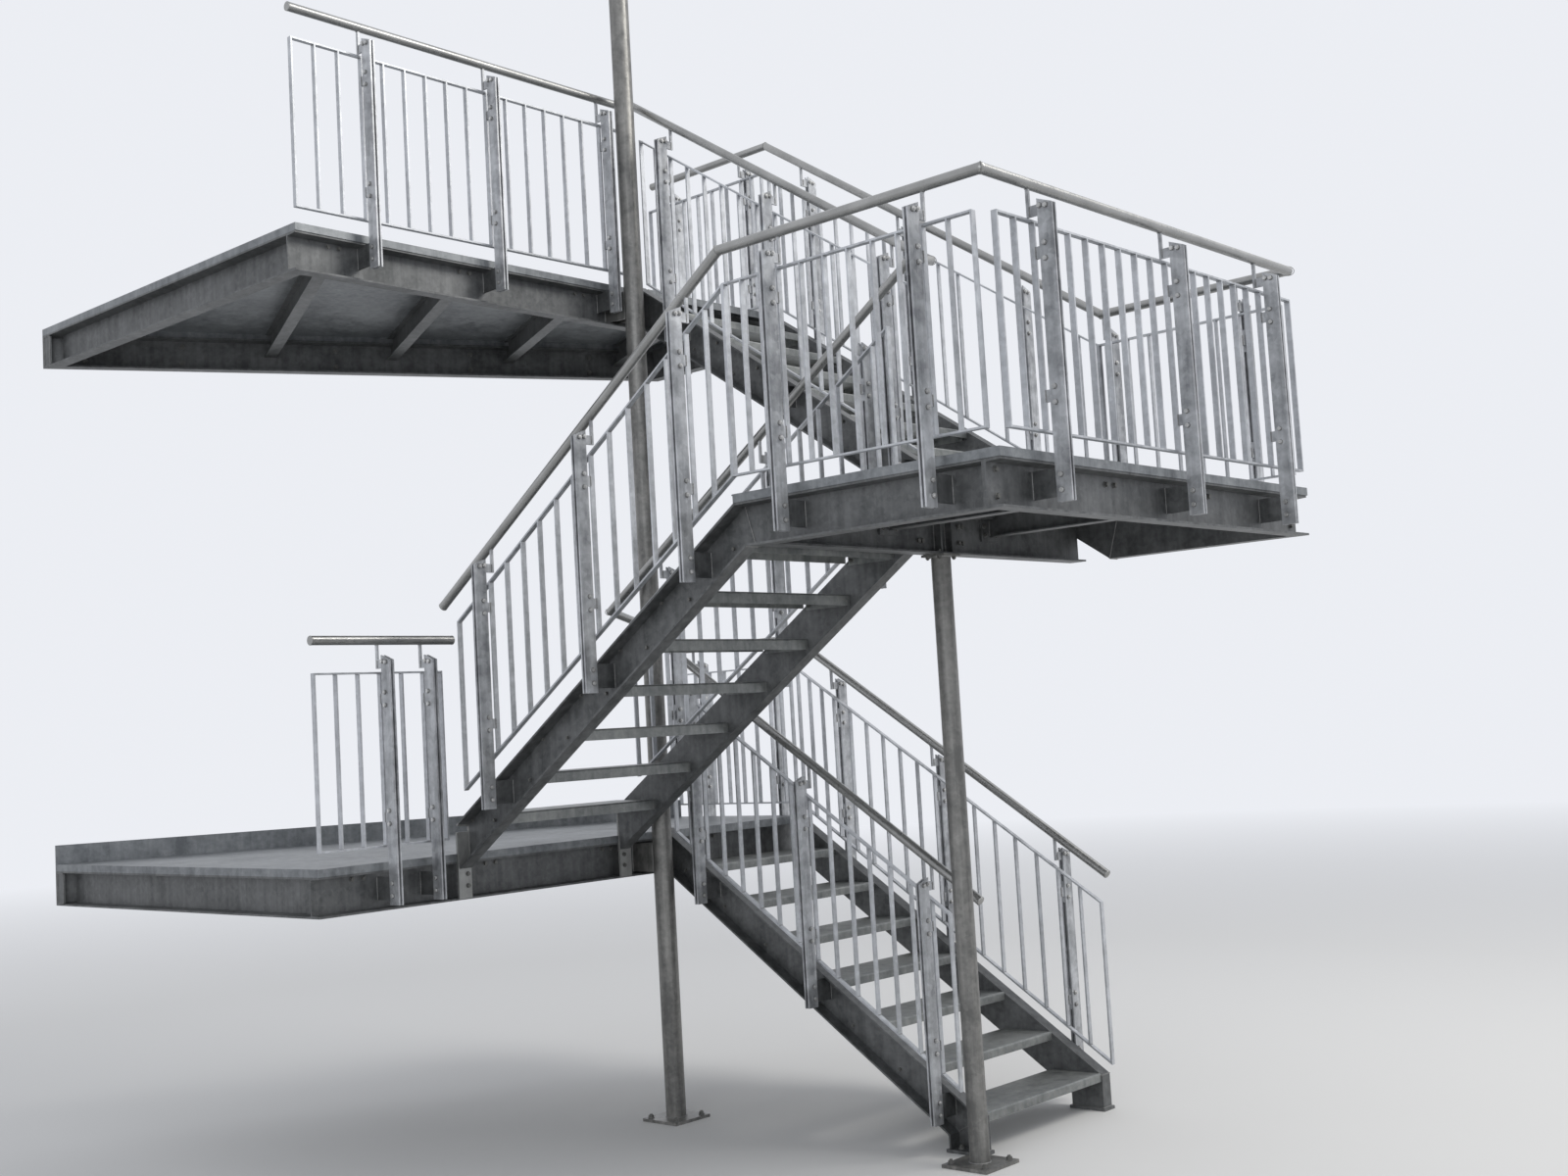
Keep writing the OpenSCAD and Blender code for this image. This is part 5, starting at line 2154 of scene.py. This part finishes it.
@dataclass
class Stage:
    """Pale floor, world and lamps."""

    floor_size: float = 90.0
    paper: Point = (0.78, 0.78, 0.77)
    paper_roughness: float = 0.9
    backdrop: Point = (0.93, 0.95, 1.0)
    backdrop_strength: float = 0.9
    sky_strength: float = 0.66
    fade_start: float = 7.0
    fade_end: float = 24.0
    key: Lamp = Lamp(
        "key",
        place=(7.0, 3.5, 9.5),
        aim=(1.0, 0.0, 2.2),
        size=4.5,
        power=430.0,
        colour=(1.0, 0.97, 0.92),
    )
    fill: Lamp = Lamp(
        "fill",
        place=(6.5, -9.0, 5.0),
        aim=(0.8, -0.2, 2.4),
        size=6.0,
        power=110.0,
        colour=(0.94, 0.97, 1.0),
    )

    def seen(self, sheet: NodeSheet) -> Socket:
        """Finds the rays that show the background.

        Args:
            sheet: the tree of the floor or the world.

        Returns:
            One for rays of the camera, of gloss and of glass, else zero.
        """
        path = sheet.add("ShaderNodeLightPath").outputs
        direct = sheet.math("MAXIMUM", path["Is Camera Ray"], path["Is Transmission Ray"])
        return sheet.math("MAXIMUM", direct, path["Is Glossy Ray"])

    def floor_finish(self) -> Material:
        """Makes the pale matt floor's material, which turns into the backdrop far from the stair.

        Returns:
            The material.
        """
        material, sheet = new_material("floor_paper")
        paper = sheet.add(
            "ShaderNodeBsdfPrincipled",
            Base_Color=(*self.paper, 1.0),
            Roughness=self.paper_roughness,
        )
        glow = sheet.add(
            "ShaderNodeEmission", Color=(*self.backdrop, 1.0), Strength=self.backdrop_strength
        )
        place = sheet.add("ShaderNodeTexCoord").outputs["Object"]
        reach = sheet.add("ShaderNodeVectorMath", operation="LENGTH")
        sheet.put(reach.inputs[0], place)
        far = sheet.ramp(reach.outputs["Value"], self.fade_start, self.fade_end)
        factor = sheet.math("MULTIPLY", far, self.seen(sheet))
        blend = sheet.add("ShaderNodeMixShader", Fac=factor)
        sheet.put(blend.inputs[1], paper.outputs[0])
        sheet.put(blend.inputs[2], glow.outputs[0])
        sheet.end("ShaderNodeOutputMaterial", blend.outputs[0])
        return material

    def build(self) -> None:
        """Makes the floor, the world and the lights."""
        sides = (-self.floor_size / 2, self.floor_size / 2)
        mesh = bpy.data.meshes.new("floor")
        mesh.from_pydata([(x, y, 0.0) for x, y in around(sides, sides)[:4]], [], [(0, 1, 2, 3)])
        mesh.materials.append(self.floor_finish())
        floor = linked("floor", mesh)
        world = bpy.data.worlds.new("studio")
        world.use_nodes = True
        sheet = NodeSheet(world.node_tree)
        seen = self.seen(sheet)
        strength = sheet.ramp(seen, 0.0, 1.0, self.sky_strength, self.backdrop_strength)
        light = sheet.add("ShaderNodeBackground", Color=(*self.backdrop, 1.0), Strength=strength)
        sheet.end("ShaderNodeOutputWorld", light.outputs[0])
        bpy.context.scene.world = world
        self.key.build()
        self.fill.build()


@dataclass
class PhotoCamera:
    """Camera at the photograph's viewpoint."""

    place: Point = (6.5674, -6.2428, 1.9371)
    azimuth: float = 42.03
    pitch: float = 4.56
    roll: float = -3.337
    lens: float = 40.18
    sensor: float = 36.0
    clip_end: float = 500.0

    def build(self) -> None:
        """Makes the camera and sets it."""
        a, e, r = (math.radians(v) for v in (self.azimuth, self.pitch, self.roll))
        ahead = Vector((-math.sin(a) * math.cos(e), math.cos(a) * math.cos(e), math.sin(e)))
        right = Vector((math.cos(a), math.sin(a), 0.0))
        up = right.cross(ahead)
        right_rolled = right * math.cos(r) + up * math.sin(r)
        up_rolled = up * math.cos(r) - right * math.sin(r)
        data = bpy.data.cameras.new("photo_camera")
        data.lens = self.lens
        data.sensor_width = self.sensor
        data.sensor_fit = "HORIZONTAL"
        data.clip_end = self.clip_end
        camera = linked("photo_camera", data)
        turn = Matrix((right_rolled, up_rolled, -ahead)).transposed().to_4x4()
        camera.matrix_world = Matrix.Translation(self.place) @ turn
        bpy.context.scene.camera = camera


def main() -> None:
    """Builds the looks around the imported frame."""
    logging.basicConfig(level=logging.INFO, format="%(name)s: %(message)s")
    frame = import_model()
    bpy.context.scene.view_settings.view_transform = "Standard"
    PhotoCamera().build()
    Stage().build()
    finishes = Finishes()
    CarriedNodes(frame, finishes).dress()
    # The railing's bolts take the painted-light copy of the bolt zinc, and the frame's bolts the
    # painted-shade copy.
    lit_rail_bolts = BoltWorks(finishes.lit_rail_bolt, finishes.washer)
    shaded_frame_bolts = BoltWorks(finishes.shaded_frame_bolt, finishes.washer)
    welds = WeldWorks(finishes.weld)
    RailingPosts(SIZES, lit_rail_bolts, welds).build()
    PanelWelds(frame, welds).build()
    TreadFixings(SIZES, shaded_frame_bolts, welds).build()
    BeamFixings(SIZES, shaded_frame_bolts).build()
    WallBeamEnds(SIZES, welds, finishes.channel).build()
    FrameWelds(SIZES, welds).build()
    HandrailEnds(SIZES, welds, finishes.tube).build()


if __name__ == "__main__":
    main()
